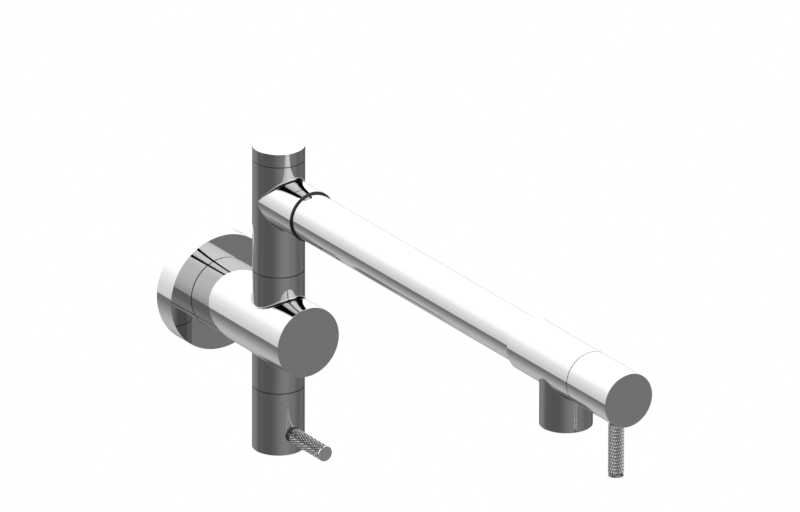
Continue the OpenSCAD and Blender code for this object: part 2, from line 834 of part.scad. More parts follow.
// Bar covered with pointed diamonds: peaks and groove crossings take turns on a skewed grid
module knurled_bar(from, rows) {
    columns = 2 * knurl_starts;
    step = knurl_pitch / 2;
    points = [
        for (row = [0 : rows], column = [0 : columns - 1])
            let (
                peak = (row + column) % 2 == 1 && row > 0 && row < rows,
                r = peak ? lever_r : knurl_low_r,
                angle = column * 360 / columns
            )
            [r * cos(angle), r * sin(angle), from + row * step]
    ];
    function at(row, column) = row * columns + (column + columns) % columns;
    sides = [
        for (row = [0 : rows - 1], column = [0 : columns - 1])
            each (row + column) % 2 == 1
                ? [
                    [at(row, column), at(row + 1, column), at(row, column + 1)],
                    [at(row, column + 1), at(row + 1, column), at(row + 1, column + 1)]
                ]
                : [
                    [at(row, column), at(row + 1, column + 1), at(row, column + 1)],
                    [at(row, column), at(row + 1, column), at(row + 1, column + 1)]
                ]
    ];
    bottom = [for (column = [0 : columns - 1]) at(0, column)];
    top = [for (column = [columns - 1 : -1 : 0]) at(rows, column)];
    polyhedron(points = points, faces = concat(sides, [bottom, top]));
}

// Aerator, in the spout's frame

module aerator_washer() {
    color([0.1, 0.1, 0.1])
        at_spout() ring(aerator_d / 2, spout_bore_d / 2, aerator_top, shell_top);
}

module aerator_shell() {
    color([0.8, 0.81, 0.82])
        at_spout() difference() {
            bar(aerator_d / 2, shell_top, aerator_mouth, 0, seam_bevel);
            hole(insert_r + running_gap, shell_top - overrun, aerator_mouth - aerator_lip_t);
            hole(insert_r - aerator_lip, shell_top, aerator_mouth + overrun);
        }
}

module aerator_insert() {
    from = shell_top;
    to = aerator_mouth - aerator_lip_t;
    reach = insert_r - aerator_lip - jet_d / 2;
    rows = floor(reach / (jet_pitch * sin(60)));
    color([0.75, 0.76, 0.78])
        at_spout() difference() {
            hole(insert_r, from, to);
            for (row = [-rows : rows], column = [-rows : rows])
                let (x = (column + (row % 2 == 0 ? 0 : 1 / 2)) * jet_pitch, y = row * jet_pitch * sin(60))
                    if (norm([x, y]) <= reach)
                        translate([x, y, 0]) hole(jet_d / 2, from - overrun, to + overrun);
        }
}

mounting_bracket();
inlet_o_rings();
wall_gasket();
wall_flange();
flange_set_screw();
main_housing();
housing_set_screw();
swivel_post();
swivel_o_rings();
lower_bearing_ring();
upper_bearing_ring();
post_nut();
at_wall_valve() seat_washer();  // wall_seat_washer
at_wall_valve() fixed_disc();  // wall_fixed_disc
at_wall_valve() cartridge_barrel();  // wall_cartridge_barrel
at_wall_valve() barrel_o_ring();  // wall_barrel_o_ring
at_wall_valve() moving_disc();  // wall_moving_disc
at_wall_valve() spindle();  // wall_spindle
at_wall_valve() spindle_o_ring();  // wall_spindle_o_ring
at_wall_valve() stop_ring();  // wall_stop_ring
at_wall_valve() handle_hub();  // wall_handle_hub
at_wall_valve() hub_screw();  // wall_hub_screw
at_wall_valve() handle_sleeve(column_r);  // wall_handle_sleeve
at_wall_valve() lever(column_r);  // wall_lever
arm_tee();
top_cap();
cap_o_ring();
arm_tube();
inner_pipe();
pipe_o_rings();
valve_body();
at_spout_valve() seat_washer();  // spout_seat_washer
at_spout_valve() fixed_disc();  // spout_fixed_disc
at_spout_valve() cartridge_barrel();  // spout_cartridge_barrel
at_spout_valve() barrel_o_ring();  // spout_barrel_o_ring
at_spout_valve() moving_disc();  // spout_moving_disc
at_spout_valve() spindle();  // spout_spindle
at_spout_valve() spindle_o_ring();  // spout_spindle_o_ring
at_spout_valve() stop_ring();  // spout_stop_ring
at_spout_valve() handle_hub();  // spout_handle_hub
at_spout_valve() hub_screw();  // spout_hub_screw
at_spout_valve() handle_sleeve(valve_r);  // spout_handle_sleeve
at_spout_valve() lever(valve_r);  // spout_lever
aerator_washer();
aerator_shell();
aerator_insert();
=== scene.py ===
"""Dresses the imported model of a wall-mounted pot filler: chrome outside, brass, rubber and ceramic inside.

Lengths are in metres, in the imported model's own frame: the wall is the plane y = 0, the tap stands out
along -Y and +Z is up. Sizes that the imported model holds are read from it, and the others are fields of the
classes below.
"""

import json
import logging
import math
from collections.abc import Iterable
from dataclasses import dataclass, field
from enum import Enum
from typing import ClassVar

import bmesh
import bpy
from mathutils import Matrix, Vector

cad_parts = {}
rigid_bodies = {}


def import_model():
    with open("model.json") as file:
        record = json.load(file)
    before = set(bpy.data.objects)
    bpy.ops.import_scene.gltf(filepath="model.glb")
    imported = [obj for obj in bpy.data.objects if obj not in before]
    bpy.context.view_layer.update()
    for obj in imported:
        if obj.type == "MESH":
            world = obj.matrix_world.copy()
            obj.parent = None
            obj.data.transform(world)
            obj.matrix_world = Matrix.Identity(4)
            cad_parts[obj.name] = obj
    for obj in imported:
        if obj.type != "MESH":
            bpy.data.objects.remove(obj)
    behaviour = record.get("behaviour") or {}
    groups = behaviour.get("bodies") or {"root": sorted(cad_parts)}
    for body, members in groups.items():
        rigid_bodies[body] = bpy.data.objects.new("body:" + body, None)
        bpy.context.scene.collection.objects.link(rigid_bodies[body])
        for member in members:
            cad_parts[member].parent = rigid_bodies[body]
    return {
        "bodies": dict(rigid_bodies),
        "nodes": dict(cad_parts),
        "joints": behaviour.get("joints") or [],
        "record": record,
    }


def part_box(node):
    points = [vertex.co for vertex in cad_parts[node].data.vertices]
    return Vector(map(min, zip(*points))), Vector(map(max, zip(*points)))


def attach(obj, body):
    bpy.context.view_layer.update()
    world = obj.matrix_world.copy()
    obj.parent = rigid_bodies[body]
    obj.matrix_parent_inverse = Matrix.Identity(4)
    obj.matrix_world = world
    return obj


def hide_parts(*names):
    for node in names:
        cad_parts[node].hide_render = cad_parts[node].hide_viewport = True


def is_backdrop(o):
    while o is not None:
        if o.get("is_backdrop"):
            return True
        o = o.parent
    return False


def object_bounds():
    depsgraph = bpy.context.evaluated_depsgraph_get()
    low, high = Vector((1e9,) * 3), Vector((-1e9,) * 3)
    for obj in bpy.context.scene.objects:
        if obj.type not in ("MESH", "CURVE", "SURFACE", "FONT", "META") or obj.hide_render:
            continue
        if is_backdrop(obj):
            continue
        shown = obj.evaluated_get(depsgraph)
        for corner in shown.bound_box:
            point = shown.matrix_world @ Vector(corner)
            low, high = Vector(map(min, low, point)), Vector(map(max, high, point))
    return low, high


MM = 0.001
MICRON = 0.000001
SENSOR_WIDTH_MM = 36.0
CORNER_ARC = "corner_arc"
CORNER_SHADE_REACH = "corner_shade_reach"
LEAST_ANGLE = 0.0001
UP = Vector((0, 0, 1))
BACK = Vector((0, 1, 0))
FRONT = Vector((0, -1, 0))

Colour = tuple[float, float, float, float]
Span = tuple[float, float]
Material = bpy.types.Material
Socket = bpy.types.NodeSocket
Sockets = bpy.types.NodeOutputs

log = logging.getLogger("pot_filler")


def grey(value: float) -> Colour:
    """Gives the opaque grey of one linear value."""
    return (value, value, value, 1.0)


def socket_kind(value: object) -> str:
    """Gives the type of socket that holds a value.

    Args:
        value: A material, a whole number, a number, a colour or a direction.

    Returns:
        The type's name.
    """
    for kind, name in ((Material, "Material"), (int, "Int"), (float, "Float")):
        if isinstance(value, kind):
            return f"NodeSocket{name}"
    return "NodeSocketColor" if len(value) == 4 else "NodeSocketVector"


@dataclass(frozen=True)
class Line:
    """An axis that turned pieces are made round.

    Attributes:
        point: A point on it.
        along: The way that it runs.
    """

    point: Vector
    along: Vector

    def matrix(self) -> Matrix:
        """Gives the frame at the line's point whose z runs along it."""
        turn = self.along.to_track_quat("Z", "Y").to_matrix().to_4x4()
        return Matrix.Translation(self.point) @ turn


class Tree:
    """Adds nodes to one node tree and joins them, so that a material or effect reads as a list of steps."""

    def __init__(self, tree: bpy.types.NodeTree) -> None:
        """Starts with an empty tree."""
        self.tree = tree
        tree.nodes.clear()

    def add(self, kind: str, inputs: dict | None = None, **settings: object) -> bpy.types.Node:
        """Adds one node.

        Args:
            kind: The node's type name.
            inputs: What each input gets, by name or place: a socket to join, or a value.
            settings: The node's own settings.

        Returns:
            The node.
        """
        node = self.tree.nodes.new(kind)
        for name, value in settings.items():
            setattr(node, name, value)
        for key, value in (inputs or {}).items():
            self.feed(node.inputs[key], value)
        return node

    def feed(self, socket: Socket, value: object) -> None:
        """Joins another node's output to an input, or sets the input's own value.

        Args:
            socket: The input.
            value: The other node's output, or the value.
        """
        if isinstance(value, Socket):
            self.tree.links.new(value, socket)
        else:
            socket.default_value = value

    def math(self, operation: str, *values: object) -> Socket:
        """Adds a sum of numbers and gives its result."""
        return self.add("ShaderNodeMath", dict(enumerate(values)), operation=operation).outputs[0]

    def plus(self, first: object, second: object) -> Socket:
        """Adds two numbers."""
        return self.math("ADD", first, second)

    def minus(self, first: object, second: object) -> Socket:
        """Takes the second number from the first."""
        return self.math("SUBTRACT", first, second)

    def times(self, first: object, second: object) -> Socket:
        """Multiplies two numbers."""
        return self.math("MULTIPLY", first, second)

    def over(self, first: object, second: object) -> Socket:
        """Divides the first number by the second."""
        return self.math("DIVIDE", first, second)

    def square(self, value: object) -> Socket:
        """Multiplies a number by itself."""
        return self.math("POWER", value, 2.0)

    def apart(self, first: object, second: object) -> Socket:
        """Gives how far two numbers lie apart."""
        return self.math("ABSOLUTE", self.minus(first, second))

    def split(self, place: Socket) -> Sockets:
        """Gives the X, Y and Z of a place."""
        return self.add("ShaderNodeSeparateXYZ", {"Vector": place}).outputs

    def join(self, x: object, y: object, z: object) -> Socket:
        """Makes a vector of three numbers."""
        return self.add("ShaderNodeCombineXYZ", {"X": x, "Y": y, "Z": z}).outputs[0]

    def from_axis(self, parts: Sockets) -> Socket:
        """Gives how far a place lies from the z axis."""
        return self.math("SQRT", self.plus(self.square(parts["X"]), self.square(parts["Y"])))

    def bearing(self, parts: Sockets) -> Socket:
        """Gives the bearing of a place round the z axis."""
        return self.math("ARCTAN2", parts["Y"], parts["X"])

    def noise(self, place: Socket, scale: object, detail: float) -> Socket:
        """Gives soft noise from 0 to 1."""
        return self.add("ShaderNodeTexNoise", {"Vector": place, "Scale": scale, "Detail": detail}).outputs[0]

    def mix(self, share: object, first: object, second: object) -> Socket:
        """Mixes two colours into one, which is the second where the share is 1."""
        return self.add("ShaderNodeMix", {0: share, 6: first, 7: second}, data_type="RGBA").outputs[2]

    def remap(self, value: Socket, source: Span, target: tuple[object, object] = (0.0, 1.0)) -> Socket:
        """Spreads one range of numbers over another, with nothing past its ends.

        Args:
            value: The number's socket.
            source: The range that it has.
            target: The range that it gets.

        Returns:
            The result's socket.
        """
        limits = {"From Min": source[0], "From Max": source[1], "To Min": target[0], "To Max": target[1]}
        return self.add("ShaderNodeMapRange", {"Value": value, **limits}, clamp=True).outputs["Result"]

    def ramp(self, value: Socket, stops: Iterable[Span], fade: str = "LINEAR") -> Socket:
        """Turns a number from 0 to 1 into a grey by a row of stops.

        Args:
            value: The number's socket.
            stops: Pairs of a place from 0 to 1 and the linear grey there.
            fade: How the grey goes from one stop to the next.

        Returns:
            The colour's socket.
        """
        node = self.add("ShaderNodeValToRGB", {"Fac": value})
        node.color_ramp.interpolation = fade
        elements = node.color_ramp.elements
        elements.remove(elements[1])
        for index, (place, level) in enumerate(stops):
            element = elements[0] if index == 0 else elements.new(place)
            element.position = place
            element.color = grey(level)
        return node.outputs["Color"]


class Group(Tree):
    """A node group with named inputs and one output.

    Attributes:
        kind: The type of its tree.
        subject: The name and socket type of its first input, which is always joined.
        output: The name and socket type of its output.
    """

    kind = "ShaderNodeTree"
    subject = ("Vector", "NodeSocketVector")
    output = ("Height", "NodeSocketFloat")

    def __init__(self, name: str, values: dict[str, object]) -> None:
        """Starts the group.

        Args:
            name: Its name.
            values: The value of each further input, by its name.
        """
        super().__init__(bpy.data.node_groups.new(name, self.kind))
        face = self.tree.interface
        face.new_socket(name=self.subject[0], in_out="INPUT", socket_type=self.subject[1])
        self.identifiers = {}
        for label, value in values.items():
            socket = face.new_socket(name=label, in_out="INPUT", socket_type=socket_kind(value))
            socket.default_value = value
            self.identifiers[label] = socket.identifier
        face.new_socket(name=self.output[0], in_out="OUTPUT", socket_type=self.output[1])
        self.given = self.add("NodeGroupInput").outputs


class Effect(Group):
    """A surface effect that several finishes share, as a shader node group that is built once.

    Attributes:
        inputs: The value of each input, by its name, beside the place that every effect reads.
        detail: How fine its noise is, where it has any.
    """

    inputs: dict[str, object] = {}
    detail = 2.0

    def __init__(self) -> None:
        """Builds the whole group."""
        super().__init__(type(self).__name__, self.inputs)
        self.add("NodeGroupOutput", {0: self.result()})

    @classmethod
    def group(cls) -> bpy.types.NodeTree:
        """Gives the effect's group, which is built when it is first asked for."""
        return bpy.data.node_groups.get(cls.__name__) or cls().tree

    def result(self) -> Socket:
        """Builds the inside and gives the socket to put out, which each effect does in its own way."""
        raise NotImplementedError


class PolishHaze(Effect):
    """The roughness of a polished face, which is a little hazier in soft patches.

    Attributes:
        spread: The values of the noise that give the lowest and the highest roughness.
    """

    output = ("Roughness", "NodeSocketFloat")
    inputs = {"Scale": 60.0, "Low": 0.02, "High": 0.05}
    detail = 3.0
    spread = (0.35, 0.7)

    def result(self) -> Socket:
        """Spreads soft noise between the two roughnesses.

        Returns:
            The roughness's socket.
        """
        given = self.given
        patches = self.noise(given["Vector"], given["Scale"], self.detail)
        return self.remap(patches, self.spread, (given["Low"], given["High"]))


class FineScratches(Effect):
    """The height of hairline scratches that cross each other in two directions.

    Attributes:
        ways: For each direction, its turn in degrees and how the noise is squeezed into hairs.
        hair: The part of the noise that shows as a hair.
    """

    inputs = {"Scale": 40.0}
    ways = ((20.0, (1.0, 34.0, 22.0)), (-35.0, (27.0, 1.0, 31.0)))
    hair = (0.66, 0.74)

    def result(self) -> Socket:
        """Lays both sets of hairs over each other.

        Returns:
            The height's socket.
        """
        heights = []
        for turn_deg, squeeze in self.ways:
            turn = [math.radians(turn_deg)] * 3
            settings = {"Vector": self.given["Vector"], "Rotation": turn, "Scale": squeeze}
            turned = self.add("ShaderNodeMapping", settings).outputs[0]
            heights.append(self.remap(self.noise(turned, self.given["Scale"], self.detail), self.hair))
        return self.math("MAXIMUM", *heights)


class SoftWaves(Effect):
    """The height of the slow waves that plating leaves in a mirror finish."""

    inputs = {"Scale": 90.0}
    detail = 1.0

    def result(self) -> Socket:
        """Takes soft noise as it is."""
        return self.noise(self.given["Vector"], self.given["Scale"], self.detail)


class TurningRings(Effect):
    """The height of a lathe's tool marks: rings round the z axis, and circles on the ends."""

    inputs = {"Pitch": 0.25 * MM, "Waver": 0.15, "Waver Scale": 300.0}

    def result(self) -> Socket:
        """Makes a wave along the tool's way, with a little waver in it.

        Returns:
            The height's socket.
        """
        given, parts = self.given, self.split(self.given["Vector"])
        travel = self.plus(self.from_axis(parts), parts["Z"])
        waver = self.noise(given["Vector"], given["Waver Scale"], self.detail)
        drift = self.times(waver, given["Waver"])
        turns = self.plus(self.over(travel, given["Pitch"]), drift)
        return self.math("MULTIPLY_ADD", self.math("SINE", self.times(turns, math.tau)), 0.5, 0.5)


class ScrewThread(Effect):
    """The height of a helical thread round the z axis, on faces near one radius and between two heights."""

    inputs = {"Pitch": MM, "Radius": 10 * MM, "Band": 0.1 * MM, "From": 0.0, "To": 10 * MM}

    def result(self) -> Socket:
        """Makes a ridge that climbs a pitch in each turn.

        Returns:
            The height's socket.
        """
        given, parts = self.given, self.split(self.given["Vector"])
        climb = self.plus(self.over(parts["Z"], given["Pitch"]), self.over(self.bearing(parts), math.tau))
        ridge = self.times(self.math("PINGPONG", climb, 0.5), 2.0)
        near = self.math("LESS_THAN", self.apart(self.from_axis(parts), given["Radius"]), given["Band"])
        above = self.math("GREATER_THAN", parts["Z"], given["From"])
        below = self.math("LESS_THAN", parts["Z"], given["To"])
        return self.times(self.times(ridge, near), self.times(above, below))


class Mottle(Effect):
    """A colour that drifts between two in soft patches.

    Attributes:
        spread: The values of the noise that give the main colour and the other one.
    """

    output = ("Color", "NodeSocketColor")
    inputs = {"Scale": 80.0, "Main": grey(0.5), "Other": grey(0.4)}
    detail = 5.0
    spread = (0.3, 0.7)

    def result(self) -> Socket:
        """Mixes the two colours by soft noise.

        Returns:
            The colour's socket.
        """
        given = self.given
        share = self.remap(self.noise(given["Vector"], given["Scale"], self.detail), self.spread)
        return self.mix(share, given["Main"], given["Other"])


class PaintedSeamShade(Effect):
    """The share of painted shade in a narrow seam, which lies in a plane across an axis.

    Attributes:
        fade: Where the painted shade starts to fade and where it ends, as shares of half the seam's width.
    """

    output = ("Share", "NodeSocketFloat")
    inputs = {"Axis": (0.0, 0.0, 1.0), "Place": 0.0, "Half Width": 0.3 * MM}
    fade = (1.0, 1.3)

    def result(self) -> Socket:
        """Measures how far the face lies from the seam's plane.

        Returns:
            The share's socket.
        """
        given = self.given
        both = {0: given["Vector"], 1: given["Axis"]}
        along = self.add("ShaderNodeVectorMath", both, operation="DOT_PRODUCT")
        off = self.over(self.apart(along.outputs["Value"], given["Place"]), given["Half Width"])
        return self.remap(off, self.fade, (1.0, 0.0))


class MouldedGrain(Effect):
    """The height of the fine grain that a mould leaves on rubber and plastic."""

    inputs = {"Scale": 2500.0}

    def result(self) -> Socket:
        """Makes a small dent at the middle of each grain.

        Returns:
            The height's socket.
        """
        settings = {"Vector": self.given["Vector"], "Scale": self.given["Scale"]}
        cells = self.add("ShaderNodeTexVoronoi", settings)
        return self.math("MINIMUM", cells.outputs["Distance"], 1.0)


class Surface(Tree):
    """A material under construction: one Principled shader, Object coordinates, and the shared effects."""

    def __init__(self, name: str, line: Line | None = None) -> None:
        """Starts the material.

        Args:
            name: Its name.
            line: The axis that its pattern is centred on, or None for the object's own origin.
        """
        self.material = bpy.data.materials.new(name)
        self.material.use_nodes = True
        super().__init__(self.material.node_tree)
        self.shader = self.add("ShaderNodeBsdfPrincipled")
        self.add("ShaderNodeOutputMaterial", {"Surface": self.shader.outputs[0]})
        self.place = self.add("ShaderNodeTexCoord").outputs["Object"]
        if line is not None:
            matrix = line.matrix()
            settings = {"Vector": self.place, "Location": matrix.translation, "Rotation": matrix.to_euler()}
            self.place = self.add("ShaderNodeMapping", settings, vector_type="TEXTURE").outputs[0]

    def effect(self, effect: type[Effect], **values: object) -> Socket:
        """Places a shared effect.

        Args:
            effect: The effect.
            values: Its inputs, whose names have spaces for underscores.

        Returns:
            The effect's output.
        """
        inputs = {name.replace("_", " "): value for name, value in values.items()}
        inputs["Vector"] = self.place
        return self.add("ShaderNodeGroup", inputs, node_tree=effect.group()).outputs[0]

    def set(self, **values: object) -> None:
        """Sets or joins the shader's inputs, whose names have spaces for underscores."""
        for name, value in values.items():
            self.feed(self.shader.inputs[name.replace("_", " ")], value)

    def relief(self, *layers: tuple[Socket, float]) -> None:
        """Raises the surface by layers of height.

        Args:
            layers: Each layer's height socket, from 0 to 1, and how far 1 stands out.
        """
        below = None
        for height, distance in layers:
            bump = self.add("ShaderNodeBump", {"Height": height, "Distance": distance, "Strength": 1.0})
            if below is not None:
                self.feed(bump.inputs["Normal"], below)
            below = bump.outputs[0]
        self.feed(self.shader.inputs["Normal"], below)


@dataclass(frozen=True)
class Seam:
    """A narrow seam between two polished pieces.

    Attributes:
        axis: The axis that it lies across.
        place: Where along that axis it lies.
        half_width: Half its width, with the bevels of both pieces.
    """

    axis: Vector
    place: float
    half_width: float


@dataclass(frozen=True)
class Patchy:
    """What most finishes share: a colour and a roughness that drift in soft patches.

    Attributes:
        colour: The main colour.
        shade: The colour in the patches.
        haze: The lowest and highest roughness.
        colour_scale: How close the patches of colour lie.
        haze_scale: How close the patches of haze lie.
    """

    colour: Colour
    shade: Colour
    haze: Span
    colour_scale: ClassVar[float]
    haze_scale: ClassVar[float]

    def patches(self, surface: Surface) -> tuple[Socket, Socket]:
        """Gives the colour and the roughness of a surface under construction."""
        colour = surface.effect(Mottle, Scale=self.colour_scale, Main=self.colour, Other=self.shade)
        return colour, surface.effect(PolishHaze, Scale=self.haze_scale, Low=self.haze[0], High=self.haze[1])


@dataclass(frozen=True)
class Polished(Patchy):
    """A mirror-polished metal, with painted shade in its seams and in the inside corners.

    Attributes:
        wave_height: How far the slow waves stand out.
        scratch_height: How deep the hairlines are.
        wave_scale: How close the waves lie.
        scratch_scale: How close the hairlines lie.
        seam_shade_colour: The painted shade's colour down in a seam.
        corner_shade_colour: The painted shade's colour in an inside corner.
        painted_shade_roughness: The least roughness where shade is painted.
        corner_band: The part of an inside corner's arc that gets the painted dark line of shade.
        corner_fade: Where the shade there starts to fade and where it ends, as shares of half that band.
    """

    wave_height: float
    scratch_height: float
    wave_scale: float = 70.0
    scratch_scale: float = 35.0
    seam_shade_colour: Colour = grey(0.08)
    corner_shade_colour: Colour = grey(0.03)
    painted_shade_roughness: float = 0.3
    corner_band: Span = (0.36, 0.95)
    corner_fade: Span = (0.75, 1.15)
    colour_scale: ClassVar[float] = 25.0
    haze_scale: ClassVar[float] = 45.0

    def corner_shade_share(self, tree: Tree) -> Socket:
        """Gives the share of painted shade on an inside corner, from the two values that its mesh carries.

        Args:
            tree: The material's tree.

        Returns:
            The share's socket.
        """
        arc = tree.add("ShaderNodeAttribute", attribute_name=CORNER_ARC).outputs["Fac"]
        reach = tree.add("ShaderNodeAttribute", attribute_name=CORNER_SHADE_REACH).outputs["Fac"]
        low, high = self.corner_band
        fade = [share * (high - low) / 2 for share in self.corner_fade]
        return tree.times(tree.remap(tree.apart(arc, (low + high) / 2), fade, (1.0, 0.0)), reach)

    def material(self, name: str, seams: Iterable[Seam] = (), in_corner: bool = False) -> Material:
        """Builds the material.

        Args:
            name: Its name.
            seams: The seams that get painted shade.
            in_corner: Whether it is for the inside corners, which get a painted dark line of shade.

        Returns:
            The material.
        """
        surface = Surface(name)
        colour, rough = self.patches(surface)
        # Painted shade in the seams and in the inside corners: it darkens the colour and dulls the roughness.
        painted_shade = []
        for seam in seams:
            share = surface.effect(PaintedSeamShade, Axis=seam.axis, Place=seam.place, Half_Width=seam.half_width)
            painted_shade.append((share, self.seam_shade_colour))
        if in_corner:
            painted_shade.append((self.corner_shade_share(surface), self.corner_shade_colour))
        for share, shade_colour in painted_shade:
            colour = surface.mix(share, colour, shade_colour)
            rough = surface.math("MAXIMUM", rough, surface.times(share, self.painted_shade_roughness))
        surface.set(Base_Color=colour, Metallic=1.0, Roughness=rough)
        surface.relief(
            (surface.effect(SoftWaves, Scale=self.wave_scale), self.wave_height),
            (surface.effect(FineScratches, Scale=self.scratch_scale), self.scratch_height),
        )
        return surface.material


@dataclass(frozen=True)
class Knurled:
    """Plated metal under a diamond knurl: bright on the crests, duller down in the grooves, with painted
    shade that darkens the grooves by their depth.

    Attributes:
        crest_colour: The colour on the crests and on the plain tip.
        groove_shade_grey: The painted shade's grey at the bottom of the grooves, at full groove lightness.
        crest_roughness: The roughness on the crests.
        groove_roughness: The roughness in the grooves.
        root_shade_colour: The painted shade on the neck at the root and on the stud.
        haze: By how much the roughness drifts.
        haze_scale: How close the patches of haze lie.
        scratch_height: How deep the hairlines are.
        scratch_scale: How close they lie.
    """

    crest_colour: Colour
    groove_shade_grey: float
    crest_roughness: float
    groove_roughness: float
    root_shade_colour: Colour = grey(0.25)
    haze: Span = (0.9, 1.15)
    haze_scale: float = 200.0
    scratch_height: float = 0.5 * MICRON
    scratch_scale: float = 90.0

    def material(self, name: str, line: Line, reach: Span, radii: Span, groove_lightness: float) -> Material:
        """Builds the material of one lever.

        Args:
            name: Its name.
            line: The lever's axis.
            reach: Where the knurl starts and ends along the axis.
            radii: How far from the axis the bottom of the grooves and the crests lie.
            groove_lightness: How light the grooves' painted shade is, from 0 to 1.

        Returns:
            The material.
        """
        surface = Surface(name, line)
        parts = surface.split(surface.place)
        on_tip = surface.math("GREATER_THAN", parts["Z"], reach[1] + MICRON)
        past_root = surface.math("GREATER_THAN", parts["Z"], reach[0] + MICRON)
        height = surface.math("MAXIMUM", surface.remap(surface.from_axis(parts), radii), on_tip)
        # Painted shade: the colour darkens from the crests down into the grooves.
        colour = surface.mix(height, grey(self.groove_shade_grey * groove_lightness), self.crest_colour)
        rough = surface.remap(height, (0.0, 1.0), (self.groove_roughness, self.crest_roughness))
        haze = surface.effect(PolishHaze, Scale=self.haze_scale, Low=self.haze[0], High=self.haze[1])
        # Painted shade on the neck at the root, below the knurl.
        surface.set(
            Base_Color=surface.mix(past_root, self.root_shade_colour, colour),
            Metallic=1.0,
            Roughness=surface.times(rough, haze),
        )
        surface.relief((surface.effect(FineScratches, Scale=self.scratch_scale), self.scratch_height))
        return surface.material


@dataclass(frozen=True)
class Thread:
    """A screw thread cut on a turned piece, as its finish shows it.

    Attributes:
        radius: The distance from the axis to the threaded face.
        pitch: The step from one turn to the next.
        depth: How deep it is cut.
        start: Where it starts along the axis.
        end: Where it ends.
    """

    radius: float
    pitch: float
    depth: float
    start: float
    end: float


@dataclass(frozen=True)
class Turned(Patchy):
    """Metal as it comes off the lathe: tool rings, a little mottle, and a thread where the piece has one.

    Attributes:
        ring_pitch: The step between tool marks.
        ring_height: How far they stand out.
        ring_waver_scale: How close their wavers lie.
        scratch_height: How deep the hairlines are.
        scratch_scale: How close they lie.
    """

    ring_pitch: float
    ring_height: float
    ring_waver_scale: float = 120.0
    scratch_height: float = MICRON
    scratch_scale: float = 60.0
    colour_scale: ClassVar[float] = 110.0
    haze_scale: ClassVar[float] = 160.0

    def material(self, name: str, line: Line, thread: Thread | None = None) -> Material:
        """Builds the material of pieces turned round one axis.

        Args:
            name: Its name.
            line: The pieces' axis.
            thread: The thread cut on them, if any.

        Returns:
            The material.
        """
        surface = Surface(name, line)
        colour, rough = self.patches(surface)
        surface.set(Base_Color=colour, Metallic=1.0, Roughness=rough)
        rings = surface.effect(TurningRings, Pitch=self.ring_pitch, Waver_Scale=self.ring_waver_scale)
        scratches = surface.effect(FineScratches, Scale=self.scratch_scale)
        layers = [(rings, self.ring_height), (scratches, self.scratch_height)]
        if thread is not None:
            sizes = {"Pitch": thread.pitch, "Radius": thread.radius, "From": thread.start, "To": thread.end}
            layers.append((surface.effect(ScrewThread, **sizes), thread.depth))
        surface.relief(*layers)
        return surface.material


@dataclass(frozen=True)
class Moulded(Patchy):
    """Rubber, plastic or fired ceramic, with a fine grain and a faint bloom.

    Attributes:
        grain_scale: How many grains a metre holds.
        grain_height: How far they stand out.
        specular: The shader's own specular level.
    """

    grain_scale: float
    grain_height: float
    specular: float = 0.5
    colour_scale: ClassVar[float] = 140.0
    haze_scale: ClassVar[float] = 220.0

    def material(self, name: str) -> Material:
        """Builds the material.

        Args:
            name: Its name.

        Returns:
            The material.
        """
        surface = Surface(name)
        colour, rough = self.patches(surface)
        surface.set(Base_Color=colour, Roughness=rough, Specular_IOR_Level=self.specular)
        surface.relief((surface.effect(MouldedGrain, Scale=self.grain_scale), self.grain_height))
        return surface.material


class Finish(Enum):
    """The finishes that the pieces are dressed in."""

    CHROME = Polished(
        colour=(0.72, 0.72, 0.724, 1.0),
        shade=(0.71, 0.71, 0.714, 1.0),
        haze=(0.015, 0.035),
        wave_height=0.6 * MICRON,
        scratch_height=0.3 * MICRON,
    )
    CHROME_KNURLED = Knurled(
        crest_colour=(0.86, 0.86, 0.864, 1.0), groove_shade_grey=0.45, crest_roughness=0.07, groove_roughness=0.2
    )
    BRASS = Turned(
        colour=(0.66, 0.43, 0.14, 1.0),
        shade=(0.6, 0.38, 0.12, 1.0),
        haze=(0.25, 0.32),
        ring_pitch=0.8 * MM,
        ring_height=2 * MICRON,
    )
    STAINLESS = Turned(
        colour=(0.66, 0.66, 0.67, 1.0),
        shade=(0.56, 0.56, 0.57, 1.0),
        haze=(0.16, 0.28),
        ring_pitch=0.2 * MM,
        ring_height=3 * MICRON,
    )
    BLACK_RUBBER = Moulded(
        colour=(0.022, 0.022, 0.023, 1.0),
        shade=(0.045, 0.045, 0.046, 1.0),
        haze=(0.5, 0.68),
        grain_scale=2600.0,
        grain_height=12 * MICRON,
        specular=0.35,
    )
    CERAMIC = Moulded(
        colour=(0.9, 0.885, 0.84, 1.0),
        shade=(0.84, 0.82, 0.77, 1.0),
        haze=(0.12, 0.2),
        grain_scale=6000.0,
        grain_height=MICRON,
    )
    DARK_BEARING = Moulded(
        colour=(0.05, 0.05, 0.053, 1.0),
        shade=(0.08, 0.08, 0.083, 1.0),
        haze=(0.38, 0.5),
        grain_scale=3200.0,
        grain_height=8 * MICRON,
    )
    WHITE_BEARING = Moulded(
        colour=(0.82, 0.82, 0.8, 1.0),
        shade=(0.74, 0.73, 0.7, 1.0),
        haze=(0.35, 0.45),
        grain_scale=3200.0,
        grain_height=8 * MICRON,
    )
    GREY_PLASTIC = Moulded(
        colour=(0.6, 0.61, 0.63, 1.0),
        shade=(0.5, 0.51, 0.53, 1.0),
        haze=(0.3, 0.42),
        grain_scale=3600.0,
        grain_height=6 * MICRON,
    )

    def material(self, name: str, *details: object, **options: object) -> Material:
        """Builds a material of this finish, with the details that the finish takes."""
        return self.value.material(name, *details, **options)


